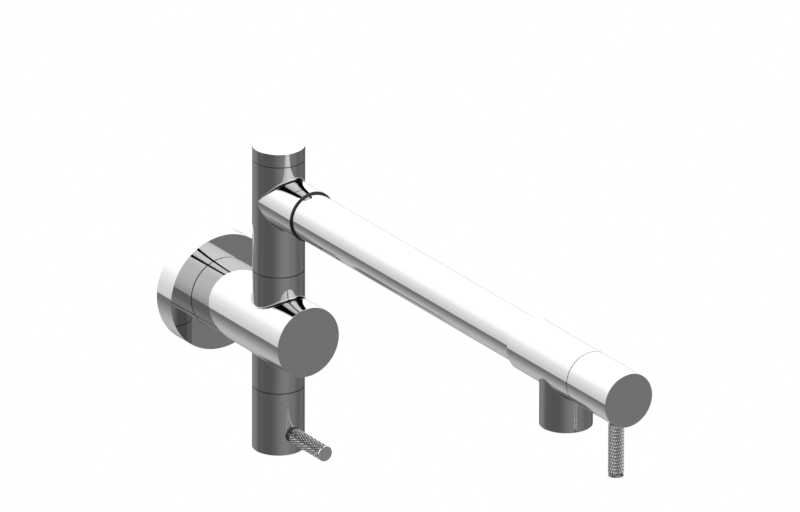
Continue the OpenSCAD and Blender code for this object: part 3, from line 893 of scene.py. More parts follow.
class Model:
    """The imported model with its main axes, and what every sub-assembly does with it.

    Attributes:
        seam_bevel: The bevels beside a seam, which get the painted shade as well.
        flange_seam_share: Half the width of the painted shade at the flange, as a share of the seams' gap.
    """

    seam_bevel = 0.15 * MM
    flange_seam_share = 0.7

    def __init__(self) -> None:
        """Loads the frame, reads the axes that the pieces are made round, and builds the chrome."""
        self.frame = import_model()
        self.cad_box = [list(corner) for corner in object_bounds()]
        self.slots = {part["node"]: part["material_slot"] for part in self.frame["record"]["subparts"]}
        swing = Vector(next(joint["pos_m"] for joint in self.frame["joints"] if joint["name"] == "arm_swing"))
        outlet = sum(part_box("aerator_shell"), Vector()) / 2
        self.inlet = Line(Vector((0, 0, 0)), BACK)
        self.column = Line(Vector((swing.x, swing.y, 0)), UP)
        self.arm = Line(Vector((0, 0, swing.z)), FRONT)
        self.spout = Line(Vector((outlet.x, outlet.y, 0)), UP)
        # The chrome is darkened along the seams and over the branch's end face: painted shade.
        self.chrome = Finish.CHROME.material("polished_chrome", self.seams())
        # The corner chrome paints a dark line of shade along the inside corners.
        self.corner_chrome = Finish.CHROME.material("corner_chrome", in_corner=True)

    def seams(self) -> list[Seam]:
        """Finds the seams between the polished pieces from the CAD nodes' boxes.

        Returns:
            The seams.
        """
        housing, tee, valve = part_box("main_housing"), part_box("arm_tee"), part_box("valve_body")
        sleeve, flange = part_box("wall_handle_sleeve"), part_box("wall_flange")
        gap = tee[0].z - housing[1].z
        places = [(UP, top.z + gap / 2) for top in (housing[1], tee[1], sleeve[1])]
        # The last place is the branch's end face, which is painted dark as a whole: painted shade.
        places += [(BACK, valve[0].y - gap / 2), (BACK, tee[0].y)]
        seams = [Seam(axis, place, gap / 2 + self.seam_bevel) for axis, place in places]
        # The flange's seam with the body gets painted shade as well.
        return seams + [Seam(BACK, flange[0].y - gap, self.flange_seam_share * gap)]

    def dress(self, material: Material, *nodes: str) -> None:
        """Gives CAD nodes their material.

        Args:
            material: The material.
            nodes: The nodes' names.
        """
        for name in nodes:
            mesh = self.frame["nodes"][name].data
            mesh.materials.clear()
            mesh.materials.append(material)
            log.info("%s: %s, %d faces", name, material.name, len(mesh.polygons))

    def place(self, piece: bpy.types.Object, body: str, node: str, instead: bool = False) -> None:
        """Lets a made piece ride on a body, as a part of a CAD node or in its place.

        Args:
            piece: The piece, whose mesh is in place.
            body: The body that it moves with.
            node: The CAD node.
            instead: Whether it stands for the node, and isn't only added to it.
        """
        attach(piece, body)
        if instead:
            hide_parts(node)
        role = "for" if instead else "with"
        log.info("%s: rides on %s %s %s, %d faces", piece.name, body, role, node, len(piece.data.polygons))


def lathe(outline: list[Span], matrix: Matrix, segments: int) -> bmesh.types.BMesh:
    """Turns a closed outline round the z axis into a solid with closed poles.

    Args:
        outline: Points of radius and height, from one pole round the outside to the other.
        matrix: Where the z axis goes.
        segments: How many steps the turn has.

    Returns:
        The solid, with its faces outwards.
    """
    mesh = bmesh.new()
    rings = []
    angles = [math.tau * step / segments for step in range(segments)]
    ways = [(math.cos(angle), math.sin(angle)) for angle in angles]
    for radius, height in outline:
        if radius == 0:
            rings.append([mesh.verts.new((0, 0, height))] * segments)
        else:
            rings.append([mesh.verts.new((radius * x, radius * y, height)) for x, y in ways])
    for low, high in zip(rings, rings[1:]):
        for step in range(segments):
            after = (step + 1) % segments
            mesh.faces.new(list(dict.fromkeys((low[step], low[after], high[after], high[step]))))
    bmesh.ops.recalc_face_normals(mesh, faces=mesh.faces)
    mesh.transform(matrix)
    return mesh


def finished(
    name: str, mesh: bmesh.types.BMesh, material: Material, smooth_deg: float = 30.0
) -> bpy.types.Object:
    """Makes a shown object of a mesh.

    Args:
        name: The object's name.
        mesh: The mesh, which is used up.
        material: Its material.
        smooth_deg: Edges flatter than this are shaded round.

    Returns:
        The object.
    """
    data = bpy.data.meshes.new(name)
    mesh.to_mesh(data)
    mesh.free()
    data.materials.append(material)
    data.shade_smooth()
    data.set_sharp_from_angle(angle=math.radians(smooth_deg))
    piece = bpy.data.objects.new(name, data)
    bpy.context.scene.collection.objects.link(piece)
    return piece


class Side(Enum):
    """The side of a level cylinder that an inside corner lies on."""

    UPPER = 1
    LOWER = -1


@dataclass(frozen=True)
class Crossing:
    """The rounded inside corner where an upright cylinder crosses a level one that runs along Y.

    Attributes:
        upright: The upright cylinder's axis.
        upright_radius: Its radius.
        level_height: The height of the level cylinder's axis.
        level_radius: Its radius.
        side: The side of the level cylinder that it lies on.
        corner_radius: The corner's own radius.
        root_share: How far inside the metal its root lies, as a share of that radius.
        reach_deg: How far the corner goes each way from the front, where 180 is all the way round.
        shade_deg: How far the painted shade in it goes at full strength each way from the front, and where it
            ends.
        steps: How many steps it has along its length.
        arc_steps: How many steps it has across.
        smooth_deg: Edges flatter than this are shaded round.
    """

    upright: Line
    upright_radius: float
    level_height: float
    level_radius: float
    side: Side
    corner_radius: float = 2.3 * MM
    root_share: float = 1.6
    reach_deg: float = 180.0
    shade_deg: Span = (55.0, 90.0)
    steps: int = 120
    arc_steps: int = 8
    smooth_deg: float = 60.0

    def section(self, turn: float) -> list[Vector]:
        """Gives the corner's outline at one bearing: the hollow arc, then a point inside the metal.

        Args:
            turn: The bearing round the upright axis, from the front.

        Returns:
            The points.
        """
        out = self.upright_radius + self.corner_radius
        over = self.level_radius + self.corner_radius
        foot = self.upright.point
        way = Vector((math.sin(turn), -math.cos(turn), 0))
        rise = self.side.value * math.sqrt(max(0.0, over**2 - (out * way.x) ** 2))
        middle = Vector((foot.x + out * way.x, foot.y + out * way.y, self.level_height + rise))
        down = Vector((middle.x - foot.x, 0, rise)).normalized()
        first, last = -way, -down
        angle = max(first.angle(last), LEAST_ANGLE)
        points = []
        for step in range(self.arc_steps + 1):
            share = step / self.arc_steps
            mixed = first * math.sin((1 - share) * angle) + last * math.sin(share * angle)
            points.append(middle + mixed / math.sin(angle) * self.corner_radius)
        inside = (first + last).normalized() * self.corner_radius * self.root_share
        return points + [middle + inside]

    def mesh(self) -> bmesh.types.BMesh:
        """Sweeps the outline round the crossing.

        Returns:
            A closed solid, whose points carry their share of the arc and of the painted shade.
        """
        mesh = bmesh.new()
        arc = mesh.verts.layers.float.new(CORNER_ARC)
        painted_shade = mesh.verts.layers.float.new(CORNER_SHADE_REACH)
        whole = self.reach_deg >= 180
        count = self.steps if whole else self.steps + 1
        reach = math.radians(self.reach_deg)
        turns = [-reach + 2 * reach * step / self.steps for step in range(count)]
        rings = [[mesh.verts.new(point) for point in self.section(turn)] for turn in turns]
        # Painted shade: the corner's dark line is strongest at the front and fades round the sides.
        full, end = (math.radians(angle) for angle in self.shade_deg)
        for turn, ring in zip(turns, rings):
            share = min(1.0, max(0.0, (end - abs(turn)) / (end - full)))
            for step, vertex in enumerate(ring):
                vertex[arc] = min(1.0, step / self.arc_steps)
                vertex[painted_shade] = share
        pairs = list(zip(rings, rings[1:])) + ([(rings[-1], rings[0])] if whole else [])
        for ring, after in pairs:
            for near, far in zip(range(len(ring)), [*range(1, len(ring)), 0]):
                mesh.faces.new((ring[near], ring[far], after[far], after[near]))
        if not whole:
            mesh.faces.new(rings[0])
            mesh.faces.new(rings[-1][::-1])
        bmesh.ops.recalc_face_normals(mesh, faces=mesh.faces)
        return mesh

    def build(self, model: Model, name: str, body: str, node: str) -> None:
        """Builds the corner as a small piece that is added to a CAD node.

        Args:
            model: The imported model.
            name: The piece's name.
            body: The body that it moves with.
            node: The node that it is added to.
        """
        model.place(finished(name, self.mesh(), model.corner_chrome, self.smooth_deg), body, node)


class GeometryTree(Group):
    """A Geometry Nodes tree with named inputs, which a modifier runs once on a piece."""

    kind = "GeometryNodeTree"
    subject = output = ("Geometry", "NodeSocketGeometry")

    def close(self, geometry: Socket) -> None:
        """Ends the tree: instances are made real and get the material.

        Args:
            geometry: The geometry to put out.
        """
        real = self.add("GeometryNodeRealizeInstances", {0: geometry}).outputs[0]
        dressed = self.add("GeometryNodeSetMaterial", {"Geometry": real, "Material": self.given["Material"]})
        self.add("NodeGroupOutput", {0: dressed.outputs[0]})

    def run(self, piece: bpy.types.Object, values: dict[str, object]) -> None:
        """Runs the tree on a piece and leaves a plain mesh.

        Args:
            piece: The piece.
            values: The modifier's inputs, by their names.
        """
        modifier = piece.modifiers.new(self.tree.name, "NODES")
        modifier.node_group = self.tree
        for label, value in values.items():
            modifier[self.identifiers[label]] = value
        graph = bpy.context.evaluated_depsgraph_get()
        made = bpy.data.meshes.new_from_object(piece.evaluated_get(graph), depsgraph=graph)
        piece.modifiers.remove(modifier)
        old = piece.data
        piece.data = made
        bpy.data.meshes.remove(old)
        made.name = piece.name


class DiamondKnurl(GeometryTree):
    """The knurl of a bar along z: a cut-off pyramid on each crossing of two opposite sets of helices."""

    def __init__(self, values: dict[str, object]) -> None:
        """Builds the whole tree.

        Args:
            values: Its inputs by their names: the knurl's sizes and the material.
        """
        super().__init__("diamond_knurl", values)
        given = self.given
        count = self.times(self.minus(given["Half Rows"], 1.0), given["Starts"])
        points = self.add("GeometryNodePoints", {"Count": count}).outputs[0]
        half_step = self.over(math.pi, given["Starts"])
        half_pitch = self.over(given["Pitch"], 2.0)
        base = self.times(given["Groove Radius"], self.math("COSINE", half_step))
        across = self.times(given["Groove Radius"], self.math("SINE", half_step))
        flat = self.times(across, given["Crest Share"])
        crest = self.math("SQRT", self.minus(self.square(given["Crest Radius"]), self.square(flat)))
        angle, height = self.crossing(half_step, half_pitch)
        place = self.join(
            self.times(base, self.math("COSINE", angle)), self.times(base, self.math("SINE", angle)), height
        )
        moved = self.add("GeometryNodeSetPosition", {"Geometry": points, "Position": place}).outputs[0]
        euler = self.join(math.pi / 2, 0.0, self.plus(angle, math.pi / 2))
        turn = self.add("FunctionNodeEulerToRotation", {0: euler}).outputs[0]
        size = self.join(across, half_pitch, self.minus(crest, base))
        sizes = {"Vertices": 4, "Radius Top": given["Crest Share"], "Radius Bottom": 1.0, "Depth": 1.0}
        pyramid = self.add("GeometryNodeMeshCone", sizes).outputs[0]
        wanted = {"Points": moved, "Instance": pyramid, "Rotation": turn, "Scale": size}
        placed = self.add("GeometryNodeInstanceOnPoints", wanted).outputs[0]
        diamonds = self.add("GeometryNodeSetShadeSmooth", {"Geometry": placed, "Shade Smooth": False})
        whole = self.add("GeometryNodeJoinGeometry", {0: diamonds.outputs[0]})
        self.feed(whole.inputs[0], given["Geometry"])
        self.close(whole.outputs[0])

    def crossing(self, half_step: Socket, half_pitch: Socket) -> tuple[Socket, Socket]:
        """Finds where two helices cross, for each point by its index.

        Args:
            half_step: Half the angle between two crossings of a ring.
            half_pitch: The height between two rings, where every second ring is shifted by half a step.

        Returns:
            The crossing's angle and height.
        """
        starts = self.given["Starts"]
        index = self.add("GeometryNodeInputIndex").outputs[0]
        ring = self.math("FLOOR", self.over(self.plus(index, 0.5), starts))
        column = self.minus(index, self.times(ring, starts))
        shifted = self.plus(column, self.times(self.math("MODULO", ring, 2.0), 0.5))
        height = self.plus(self.given["Start"], self.times(self.plus(ring, 1.0), half_pitch))
        return self.times(shifted, self.times(half_step, 2.0)), height


@dataclass
class KnurledLever:
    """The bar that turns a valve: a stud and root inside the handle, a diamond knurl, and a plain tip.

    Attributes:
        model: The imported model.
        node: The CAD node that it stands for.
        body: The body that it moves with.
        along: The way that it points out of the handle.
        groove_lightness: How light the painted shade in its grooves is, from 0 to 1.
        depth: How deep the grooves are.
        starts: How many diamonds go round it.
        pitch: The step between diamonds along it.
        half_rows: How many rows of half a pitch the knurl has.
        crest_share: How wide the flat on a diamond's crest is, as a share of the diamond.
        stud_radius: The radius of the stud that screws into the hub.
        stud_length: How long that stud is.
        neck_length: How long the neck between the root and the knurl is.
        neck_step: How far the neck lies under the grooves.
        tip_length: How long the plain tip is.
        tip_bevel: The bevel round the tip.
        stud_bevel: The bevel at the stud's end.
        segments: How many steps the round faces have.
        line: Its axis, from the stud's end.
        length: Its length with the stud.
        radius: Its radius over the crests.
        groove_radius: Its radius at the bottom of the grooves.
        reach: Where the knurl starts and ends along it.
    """

    model: Model
    node: str
    body: str
    along: Vector
    groove_lightness: float
    depth: float = 0.6 * MM
    starts: int = 19
    pitch: float = 4.65 * MM
    half_rows: int = 16
    crest_share: float = 0.15
    stud_radius: float = 2.5 * MM
    stud_length: float = 7.0 * MM
    neck_length: float = 2.5 * MM
    neck_step: float = 0.12 * MM
    tip_length: float = 0.9 * MM
    tip_bevel: float = 0.15 * MM
    stud_bevel: float = 0.12 * MM
    segments: int = 96
    line: Line = field(init=False)
    length: float = field(init=False)
    radius: float = field(init=False)
    groove_radius: float = field(init=False)
    reach: Span = field(init=False)

    def __post_init__(self) -> None:
        """Finds the lever's axis, its length, its radii and the knurl's reach from the CAD node's box."""
        low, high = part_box(self.node)
        self.length = abs((high - low).dot(self.along))
        self.radius = (high.x - low.x) / 2
        self.groove_radius = self.radius - self.depth
        self.line = Line((low + high) / 2 - self.along * self.length / 2, self.along)
        end = self.length - self.tip_length
        self.reach = (end - self.half_rows * self.pitch / 2, end)

    def core(self) -> bmesh.types.BMesh:
        """Turns the bar without its diamonds.

        Returns:
            The bar, with its stud's end at the origin.
        """
        knurl_start, knurl_end = self.reach
        neck_start = knurl_start - self.neck_length
        neck = self.groove_radius - self.neck_step
        groove = self.groove_radius * math.cos(math.pi / self.starts)
        outline = [
            (0, 0),
            (self.stud_radius - self.stud_bevel, 0),
            (self.stud_radius, self.stud_bevel),
            (self.stud_radius, self.stud_length),
            (self.radius, self.stud_length),
            (self.radius, neck_start),
            (neck, neck_start),
            (neck, knurl_start),
            (groove, knurl_start),
            (groove, knurl_end),
            (self.radius, knurl_end),
            (self.radius, self.length - self.tip_bevel),
            (self.radius - self.tip_bevel, self.length),
            (0, self.length),
        ]
        return lathe(outline, Matrix.Identity(4), self.segments)

    def build(self) -> None:
        """Builds the lever in place of its CAD node."""
        radii = (self.groove_radius, self.radius)
        details = (self.line, self.reach, radii, self.groove_lightness)
        material = Finish.CHROME_KNURLED.material(f"{self.node}_knurl", *details)
        piece = finished(f"{self.node}_bar", self.core(), material)
        values = {
            "Start": self.reach[0],
            "Pitch": self.pitch,
            "Groove Radius": self.groove_radius,
            "Crest Radius": self.radius,
            "Crest Share": self.crest_share,
            "Starts": self.starts,
            "Half Rows": self.half_rows,
            "Material": material,
        }
        DiamondKnurl(values).run(piece, values)
        piece.data.transform(self.line.matrix())
        self.model.place(piece, self.body, self.node, instead=True)


@dataclass
class SubAssembly:
    """A group of the tap's pieces.

    Attributes:
        model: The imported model.
    """

    model: Model


@dataclass
class WallSide(SubAssembly):
    """What stays on the wall: the screwed bracket, the flange over it, and the body with the column's middle.

    Attributes:
        inlet_thread: The thread for the supply pipe, with 14 turns to the inch.
    """

    inlet_thread: Thread = Thread(
        radius=9.3 * MM, pitch=25.4 / 14 * MM, depth=0.5 * MM, start=-15.0 * MM, end=0.0
    )

    def build(self) -> None:
        """Dresses the wall side's pieces, and rounds the corners between the body and the column."""
        model = self.model
        model.dress(model.chrome, "wall_flange", "main_housing")
        brass = Finish.BRASS.material("bracket_brass", model.inlet, self.inlet_thread)
        model.dress(brass, "mounting_bracket")
        model.dress(Finish.BLACK_RUBBER.material("wall_side_rubber"), "wall_gasket", "inlet_o_rings")
        steel = Finish.STAINLESS.material("set_screw_steel", model.column)
        model.dress(steel, "flange_set_screw", "housing_set_screw")
        body_radius, column_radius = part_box("main_housing")[1].x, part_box("arm_tee")[1].x
        for side in Side:
            corner = Crossing(model.column, column_radius, model.inlet.point.z, body_radius, side)
            corner.build(model, f"{side.name.lower()}_body_corner", "wall_body", "main_housing")


@dataclass
class Swivel(SubAssembly):
    """The joint that the arm swings on: a hollow post, its bearing rings, seals and nut.

    Attributes:
        thread_radius: The radius of the thread at the post's foot.
        thread_pitch: Its step.
        thread_depth: How deep it is cut.
        thread_length: How far up the post it goes.
    """

    thread_radius: float = 12.0 * MM
    thread_pitch: float = 1.5 * MM
    thread_depth: float = 0.5 * MM
    thread_length: float = 12.0 * MM

    def build(self) -> None:
        """Dresses the swivel's pieces."""
        model = self.model
        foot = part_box("swivel_post")[0].z
        top = foot + self.thread_length
        thread = Thread(self.thread_radius, self.thread_pitch, self.thread_depth, foot, top)
        model.dress(Finish.BRASS.material("post_brass", model.column, thread), "swivel_post")
        model.dress(Finish.BRASS.material("nut_brass", model.column), "post_nut")
        model.dress(Finish.BLACK_RUBBER.material("swivel_rubber"), "swivel_o_rings")
        model.dress(Finish.DARK_BEARING.material("lower_ring_plastic"), "lower_bearing_ring")
        model.dress(Finish.WHITE_BEARING.material("upper_ring_plastic"), "upper_bearing_ring")


@dataclass
class Arm(SubAssembly):
    """The swinging arm: the tee on the post with its cap, the tube with the water pipe, and the end body.

    Attributes:
        spout_radius: The spout's own radius.
        branch_reach_deg: How far the branch's corners go each way round the column, which is as wide.
    """

    spout_radius: float = 18.0 * MM
    branch_reach_deg: float = 86.0

    def build(self) -> None:
        """Dresses the arm's pieces, and rounds the corners at the branch and at the spout."""
        model = self.model
        model.dress(model.chrome, "arm_tee", "top_cap", "arm_tube", "valve_body")
        model.dress(Finish.BLACK_RUBBER.material("arm_rubber"), "cap_o_ring", "pipe_o_rings")
        model.dress(Finish.STAINLESS.material("pipe_steel", model.arm), "inner_pipe")
        height = model.arm.point.z
        tee_radius, valve_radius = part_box("arm_tee")[1].x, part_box("valve_body")[1].x
        for side in Side:
            corner = Crossing(
                model.column, tee_radius, height, tee_radius, side, reach_deg=self.branch_reach_deg
            )
            corner.build(model, f"{side.name.lower()}_branch_corner", "arm", "arm_tee")
        corner = Crossing(model.spout, self.spout_radius, height, valve_radius, Side.LOWER)
        corner.build(model, "spout_corner", "arm", "valve_body")


@dataclass
class Aerator(SubAssembly):
    """The outlet: a threaded shell with a perforated insert, sealed by a washer."""

    def build(self) -> None:
        """Dresses the outlet's pieces."""
        self.model.dress(self.model.chrome, "aerator_shell")
        self.model.dress(Finish.GREY_PLASTIC.material("aerator_plastic"), "aerator_insert")
        self.model.dress(Finish.BLACK_RUBBER.material("aerator_rubber"), "aerator_washer")


class Valve(Enum):
    """The two valves, by the word that starts their nodes' names."""

    WALL = "wall"
    SPOUT = "spout"


@dataclass
class ValveHandle(SubAssembly):
    """A quarter-turn ceramic valve with its handle: discs, spindle, hub, sleeve and knurled lever.

    Attributes:
        valve: Which of the two valves it is.
        line: The axis that the handle turns on.
        lever_along: The way that its lever points.
        lever_clean: How light the painted shade in the lever's grooves is, from 0 to 1.
    """

    valve: Valve
    line: Line
    lever_along: Vector
    lever_clean: float

    def dress(self, material: Material, *words: str) -> None:
        """Gives this valve's nodes their material, by the ends of their names."""
        self.model.dress(material, *(f"{self.valve.value}_{word}" for word in words))

    def build(self) -> None:
        """Dresses the valve and builds its lever."""
        name = self.valve.value
        self.dress(self.model.chrome, "handle_sleeve")
        brass = Finish.BRASS.material(f"{name}_valve_brass", self.line)
        self.dress(brass, "cartridge_barrel", "spindle", "handle_hub")
        self.dress(Finish.STAINLESS.material(f"{name}_valve_steel", self.line), "hub_screw", "stop_ring")
        rubber = Finish.BLACK_RUBBER.material(f"{name}_valve_rubber")
        self.dress(rubber, "seat_washer", "barrel_o_ring", "spindle_o_ring")
        self.dress(Finish.CERAMIC.material(f"{name}_valve_ceramic"), "fixed_disc", "moving_disc")
        place = (f"{name}_lever", f"{name}_handle", self.lever_along)
        KnurledLever(self.model, *place, self.lever_clean).build()


@dataclass(frozen=True)
class Card:
    """A card that stands round the tap and shows in the chrome; the light fades from one to the next.

    Attributes:
        name: What it is.
        start: The bearing of its one edge, in degrees from +X towards +Y.
        end: The bearing of its other edge.
        level: How bright the chrome shows it, where 1 is white.
    """

    name: str
    start: float
    end: float
    level: float


@dataclass(frozen=True)
class Flag:
    """A black flag that hangs in front of the cards.

    Attributes:
        name: What it is.
        bearing: The bearing of its middle, in degrees from +X towards +Y.
        half_width: How far it reaches each way from there.
        low: The height of its lower edge, as the z of a unit ray.
        high: The height of its upper edge.
        soft_deg: How softly its upright edges fade.
        soft: How softly its level edges fade.
    """

    name: str
    bearing: float
    half_width: float
    low: float
    high: float
    soft_deg: float = 8.0
    soft: float = 0.05

    def share(self, tree: Tree, direction: Socket, height: Socket) -> Socket:
        """Gives how much of a ray the flag stops.

        Args:
            tree: The world's tree.
            direction: The ray's direction.
            height: Its z.

        Returns:
            The share's socket.
        """
        turn = {"Vector": direction, "Angle": math.radians(-self.bearing)}
        turned = tree.add("ShaderNodeVectorRotate", turn, rotation_type="Z_AXIS").outputs[0]
        off = tree.math("ABSOLUTE", tree.bearing(tree.split(turned)))
        edge, soft = math.radians(self.half_width), math.radians(self.soft_deg)
        across = tree.remap(off, (edge - soft, edge + soft), (1.0, 0.0))
        over = tree.remap(height, (self.low - self.soft, self.low + self.soft))
        under = tree.remap(height, (self.high - self.soft, self.high + self.soft), (1.0, 0.0))
        return tree.times(across, tree.times(over, under))


@dataclass
class Studio:
    """White behind the tap, dark flags at its sides, a grey table's tones below, and a pale floor far down.

    Attributes:
        mirror: The share of light that the chrome gives back.
        room: The cards above the skyline.
        flags: The black flags in front of them.
        table: The cards just below it.
        table_depth: The cards further down.
        table_fall: The heights between which the one ring of table cards turns to the other.
        skyline: The height of the edge between room and table, as the z of a unit ray.
        skyline_blur: Half the width of that edge.
        dimming: How much of the room's light is left, by the same height.
        ceiling: The heights between which the room turns to the plain ceiling.
        ceiling_level: How bright the ceiling is.
        floor_drop: How far the floor lies under the tap's lowest point.
        floor_radius: The floor's radius.
        floor_segments: How many steps its edge has.
        floor_grey: The floor's own colour.
        floor_seen_grey: Its colour to the camera.
        floor_lift: How much light is added to the camera's view of it, so that only the shadow isn't white.
        lamp_size: The overhead lamp's width.
        lamp_height: Its height over the tap.
        lamp_watts: Its power.
    """

    mirror: float = 0.72
    room: tuple[Card, ...] = (
        Card("left side, near half", -180, -148, 0.42),
        Card("front sheet, left part", -133, -115, 0.67),
        Card("front sheet, right part", -85, -40, 0.86),
        Card("right side", -24, 14, 0.38),
        Card("back sweep, bright part", 44, 90, 1.15),
        Card("back sweep, left part", 122, 126, 1.06),
        Card("left wall", 131, 148, 0.86),
        Card("left side, far half", 162, 180, 0.42),
    )
    flags: tuple[Flag, ...] = (
        Flag("left flag", -172, 36, 0.4, 0.87),
        Flag("right flag", -2, 38, -0.08, 0.76),
    )
    table: tuple[Card, ...] = (
        Card("dark end, near half", -180, -160, 0.083),
        Card("front edge", -95, -85, 0.19),
        Card("front right corner", -62, -58, 0.162),
        Card("right edge", -30, -20, 0.114),
        Card("back right corner", 0, 6, 0.132),
        Card("back edge, dark part", 20, 62, 0.083),
        Card("back edge, pale part", 98, 108, 0.2),
        Card("back left corner", 118, 122, 0.166),
        Card("left edge", 140, 160, 0.094),
        Card("dark end, far half", 175, 180, 0.084),
    )
    table_depth: tuple[Card, ...] = (
        Card("front, near half", -180, -120, 0.15),
        Card("front", -100, -80, 0.225),
        Card("right side", -20, 0, 0.25),
        Card("back", 50, 100, 0.43),
        Card("back left", 118, 124, 0.37),
        Card("left side", 170, 180, 0.16),
    )
    table_fall: Span = (-0.39, -0.64)
    skyline: float = -0.3
    skyline_blur: float = 0.006
    dimming: tuple[Span, ...] = ((-0.3, 0.54), (0.0, 0.8), (0.34, 0.94), (0.55, 0.96))
    ceiling: Span = (0.74, 0.84)
    ceiling_level: float = 0.95
    floor_drop: float = 0.36
    floor_radius: float = 0.42
    floor_segments: int = 96
    floor_grey: float = 0.5
    floor_seen_grey: float = 0.8
    floor_lift: float = 0.5
    lamp_size: float = 0.3
    lamp_height: float = 1.4
    lamp_watts: float = 6.0

    def ring(self, tree: Tree, bearing: Socket, cards: tuple[Card, ...]) -> Socket:
        """Builds one ring of cards.

        Args:
            tree: The world's tree.
            bearing: The ray's bearing, from 0 at -180 degrees to 1 at 180.
            cards: The cards, in the order of their bearings.

        Returns:
            The grey's socket.
        """
        log.info("ring of cards: %s", "; ".join(f"{card.name}, {card.level:g}" for card in cards))
        places = [(edge_deg / 360 + 0.5, card.level) for card in cards for edge_deg in (card.start, card.end)]
        return tree.ramp(bearing, places, "EASE")

    def room_light(self, tree: Tree, direction: Socket, bearing: Socket, height: Socket) -> Socket:
        """Paints the room above the skyline.

        Args:
            tree: The world's tree.
            direction: The ray's direction.
            bearing: Its bearing, from 0 at -180 degrees to 1 at 180.
            height: Its z.

        Returns:
            The colour's socket.
        """
        low, high = self.dimming[0][0], self.dimming[-1][0]
        steps = [((z - low) / (high - low), share) for z, share in self.dimming]
        dimmed = tree.ramp(tree.remap(height, (low, high)), steps)
        cards = {0: self.ring(tree, bearing, self.room), 1: dimmed}
        room = tree.add("ShaderNodeVectorMath", cards, operation="MULTIPLY").outputs[0]
        room = tree.mix(tree.remap(height, self.ceiling), room, grey(self.ceiling_level))
        for flag in self.flags:
            log.info("flag: %s", flag.name)
            room = tree.mix(flag.share(tree, direction, height), room, grey(0.0))
        return room

    def world(self) -> None:
        """Paints the room by direction, and plain white for what the camera sees past the tap."""
        world = bpy.data.worlds.new("studio")
        world.use_nodes = True
        bpy.context.scene.world = world
        tree = Tree(world.node_tree)
        direction = tree.add("ShaderNodeTexCoord").outputs["Generated"]
        parts = tree.split(direction)
        height = parts["Z"]
        bearing = tree.plus(tree.over(tree.bearing(parts), math.tau), 0.5)
        room = self.room_light(tree, direction, bearing, height)
        rings = [self.ring(tree, bearing, cards) for cards in (self.table, self.table_depth)]
        table = tree.mix(tree.remap(height, self.table_fall), *rings)
        edge = (self.skyline - self.skyline_blur, self.skyline + self.skyline_blur)
        seen = tree.mix(tree.remap(height, edge), table, room)
        raised = {0: seen, "Scale": 1 / self.mirror}
        whitened = tree.add("ShaderNodeVectorMath", raised, operation="SCALE").outputs[0]
        is_camera = tree.add("ShaderNodeLightPath").outputs["Is Camera Ray"]
        light = {"Color": tree.mix(is_camera, whitened, grey(1.0)), "Strength": 1.0}
        tree.add("ShaderNodeOutputWorld", {"Surface": tree.add("ShaderNodeBackground", light).outputs[0]})

    def floor_paint(self) -> Material:
        """Builds the floor's material: white to the camera but for the soft shadow, and clear from below.

        Returns:
            The material.
        """
        material = bpy.data.materials.new("studio_floor")
        material.use_nodes = True
        tree = Tree(material.node_tree)
        paint = tree.add("ShaderNodeBsdfDiffuse", {"Color": grey(self.floor_grey)}).outputs[0]
        lit = tree.add("ShaderNodeBsdfDiffuse", {"Color": grey(self.floor_seen_grey)}).outputs[0]
        lift = tree.add("ShaderNodeEmission", {"Color": grey(1.0), "Strength": self.floor_lift}).outputs[0]
        above = tree.add("ShaderNodeAddShader", {0: lit, 1: lift}).outputs[0]
        clear = tree.add("ShaderNodeBsdfTransparent").outputs[0]
        from_below = tree.add("ShaderNodeNewGeometry").outputs["Backfacing"]
        shown = tree.add("ShaderNodeMixShader", {0: from_below, 1: above, 2: clear}).outputs[0]
        is_camera = tree.add("ShaderNodeLightPath").outputs["Is Camera Ray"]
        mixed = tree.add("ShaderNodeMixShader", {0: is_camera, 1: paint, 2: shown}).outputs[0]
        tree.add("ShaderNodeOutputMaterial", {"Surface": mixed})
        return material

    def floor(self) -> None:
        """Lays the pale floor, which no mirrored ray sees."""
        low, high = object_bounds()
        centre = (low + high) / 2
        disc = bmesh.new()
        bmesh.ops.create_circle(disc, cap_ends=True, radius=self.floor_radius, segments=self.floor_segments)
        disc.transform(Matrix.Translation((centre.x, centre.y, low.z - self.floor_drop)))
        plate = finished("studio_floor", disc, self.floor_paint())
        plate.visible_glossy = False
        plate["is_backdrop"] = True

    def lamp(self) -> None:
        """Hangs a soft lamp over the tap."""
        low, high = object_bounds()
        centre = (low + high) / 2
        data = bpy.data.lights.new("overhead_lamp", "AREA")
        data.shape = "DISK"
        data.size = self.lamp_size
        data.energy = self.lamp_watts
        lamp = bpy.data.objects.new("overhead_lamp", data)
        lamp.location = (centre.x, centre.y, high.z + self.lamp_height)
        lamp.visible_glossy = False
        bpy.context.scene.collection.objects.link(lamp)

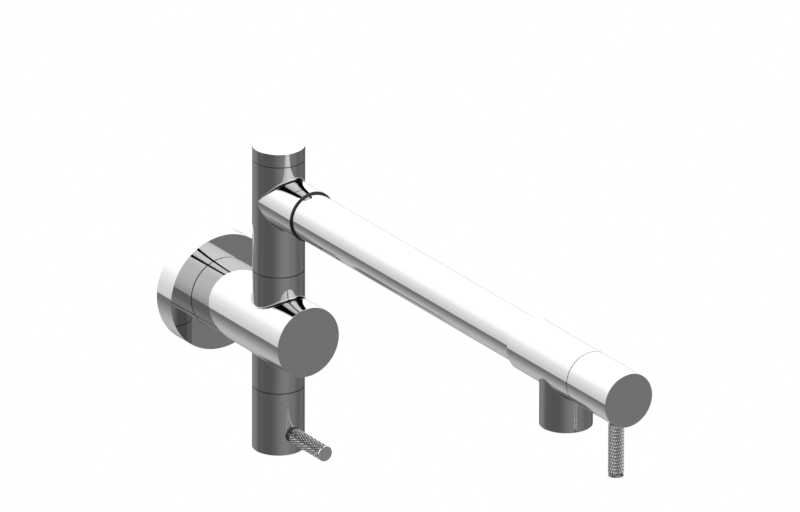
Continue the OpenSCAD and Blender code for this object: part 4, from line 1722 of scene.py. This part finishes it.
    def build(self) -> None:
        """Sets up the studio."""
        self.world()
        self.floor()
        self.lamp()
        bpy.context.scene.view_settings.view_transform = "Standard"
        log.info("studio: floor %.2f m under the tap", self.floor_drop)


@dataclass
class PhotoCamera:
    """The camera at the photograph's viewing angle, far away and with a long lens for a nearly parallel view.

    Attributes:
        bearing_deg: How far it stands round to the tap's left.
        height_deg: How far it looks down.
        roll_deg: How far it is turned about its own axis.
        aim: The point that it looks at.
        distance: How far it stands from there.
        clip: Where its view starts and ends, as shares of that distance.
        lens_mm: Its focal length.
    """

    bearing_deg: float = -33.836
    height_deg: float = 22.732
    roll_deg: float = 0.188
    aim: tuple[float, float, float] = (0.00076, -0.2346, 0.10217)
    distance: float = 15.709
    clip: Span = (0.1, 4.0)
    lens_mm: float = 1050.0

    def build(self) -> None:
        """Sets the camera up."""
        bearing, height = math.radians(self.bearing_deg), math.radians(self.height_deg)
        flat = math.cos(height)
        back = Vector((math.sin(bearing) * flat, -math.cos(bearing) * flat, math.sin(height)))
        data = bpy.data.cameras.new("photo_camera")
        data.lens = self.lens_mm
        data.sensor_width = SENSOR_WIDTH_MM
        data.clip_start, data.clip_end = (self.distance * share for share in self.clip)
        camera = bpy.data.objects.new("photo_camera", data)
        camera.rotation_mode = "QUATERNION"
        camera.location = Vector(self.aim) + back * self.distance
        roll = Matrix.Rotation(math.radians(self.roll_deg), 4, back)
        look = (-back).to_track_quat("-Z", "Y").to_matrix().to_4x4()
        camera.rotation_quaternion = (roll @ look).to_quaternion()
        bpy.context.scene.collection.objects.link(camera)
        bpy.context.scene.camera = camera
        log.info("camera: %.1f m away, %.0f mm lens", self.distance, self.lens_mm)


def main() -> None:
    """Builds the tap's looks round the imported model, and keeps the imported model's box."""
    logging.basicConfig(level=logging.INFO, format="%(message)s")
    model = Model()
    PhotoCamera().build()
    WallSide(model).build()
    Swivel(model).build()
    Arm(model).build()
    Aerator(model).build()
    ValveHandle(model, Valve.WALL, model.column, FRONT, lever_clean=0.3).build()
    ValveHandle(model, Valve.SPOUT, model.arm, -UP, lever_clean=1.0).build()
    Studio().build()


if __name__ == "__main__":
    main()
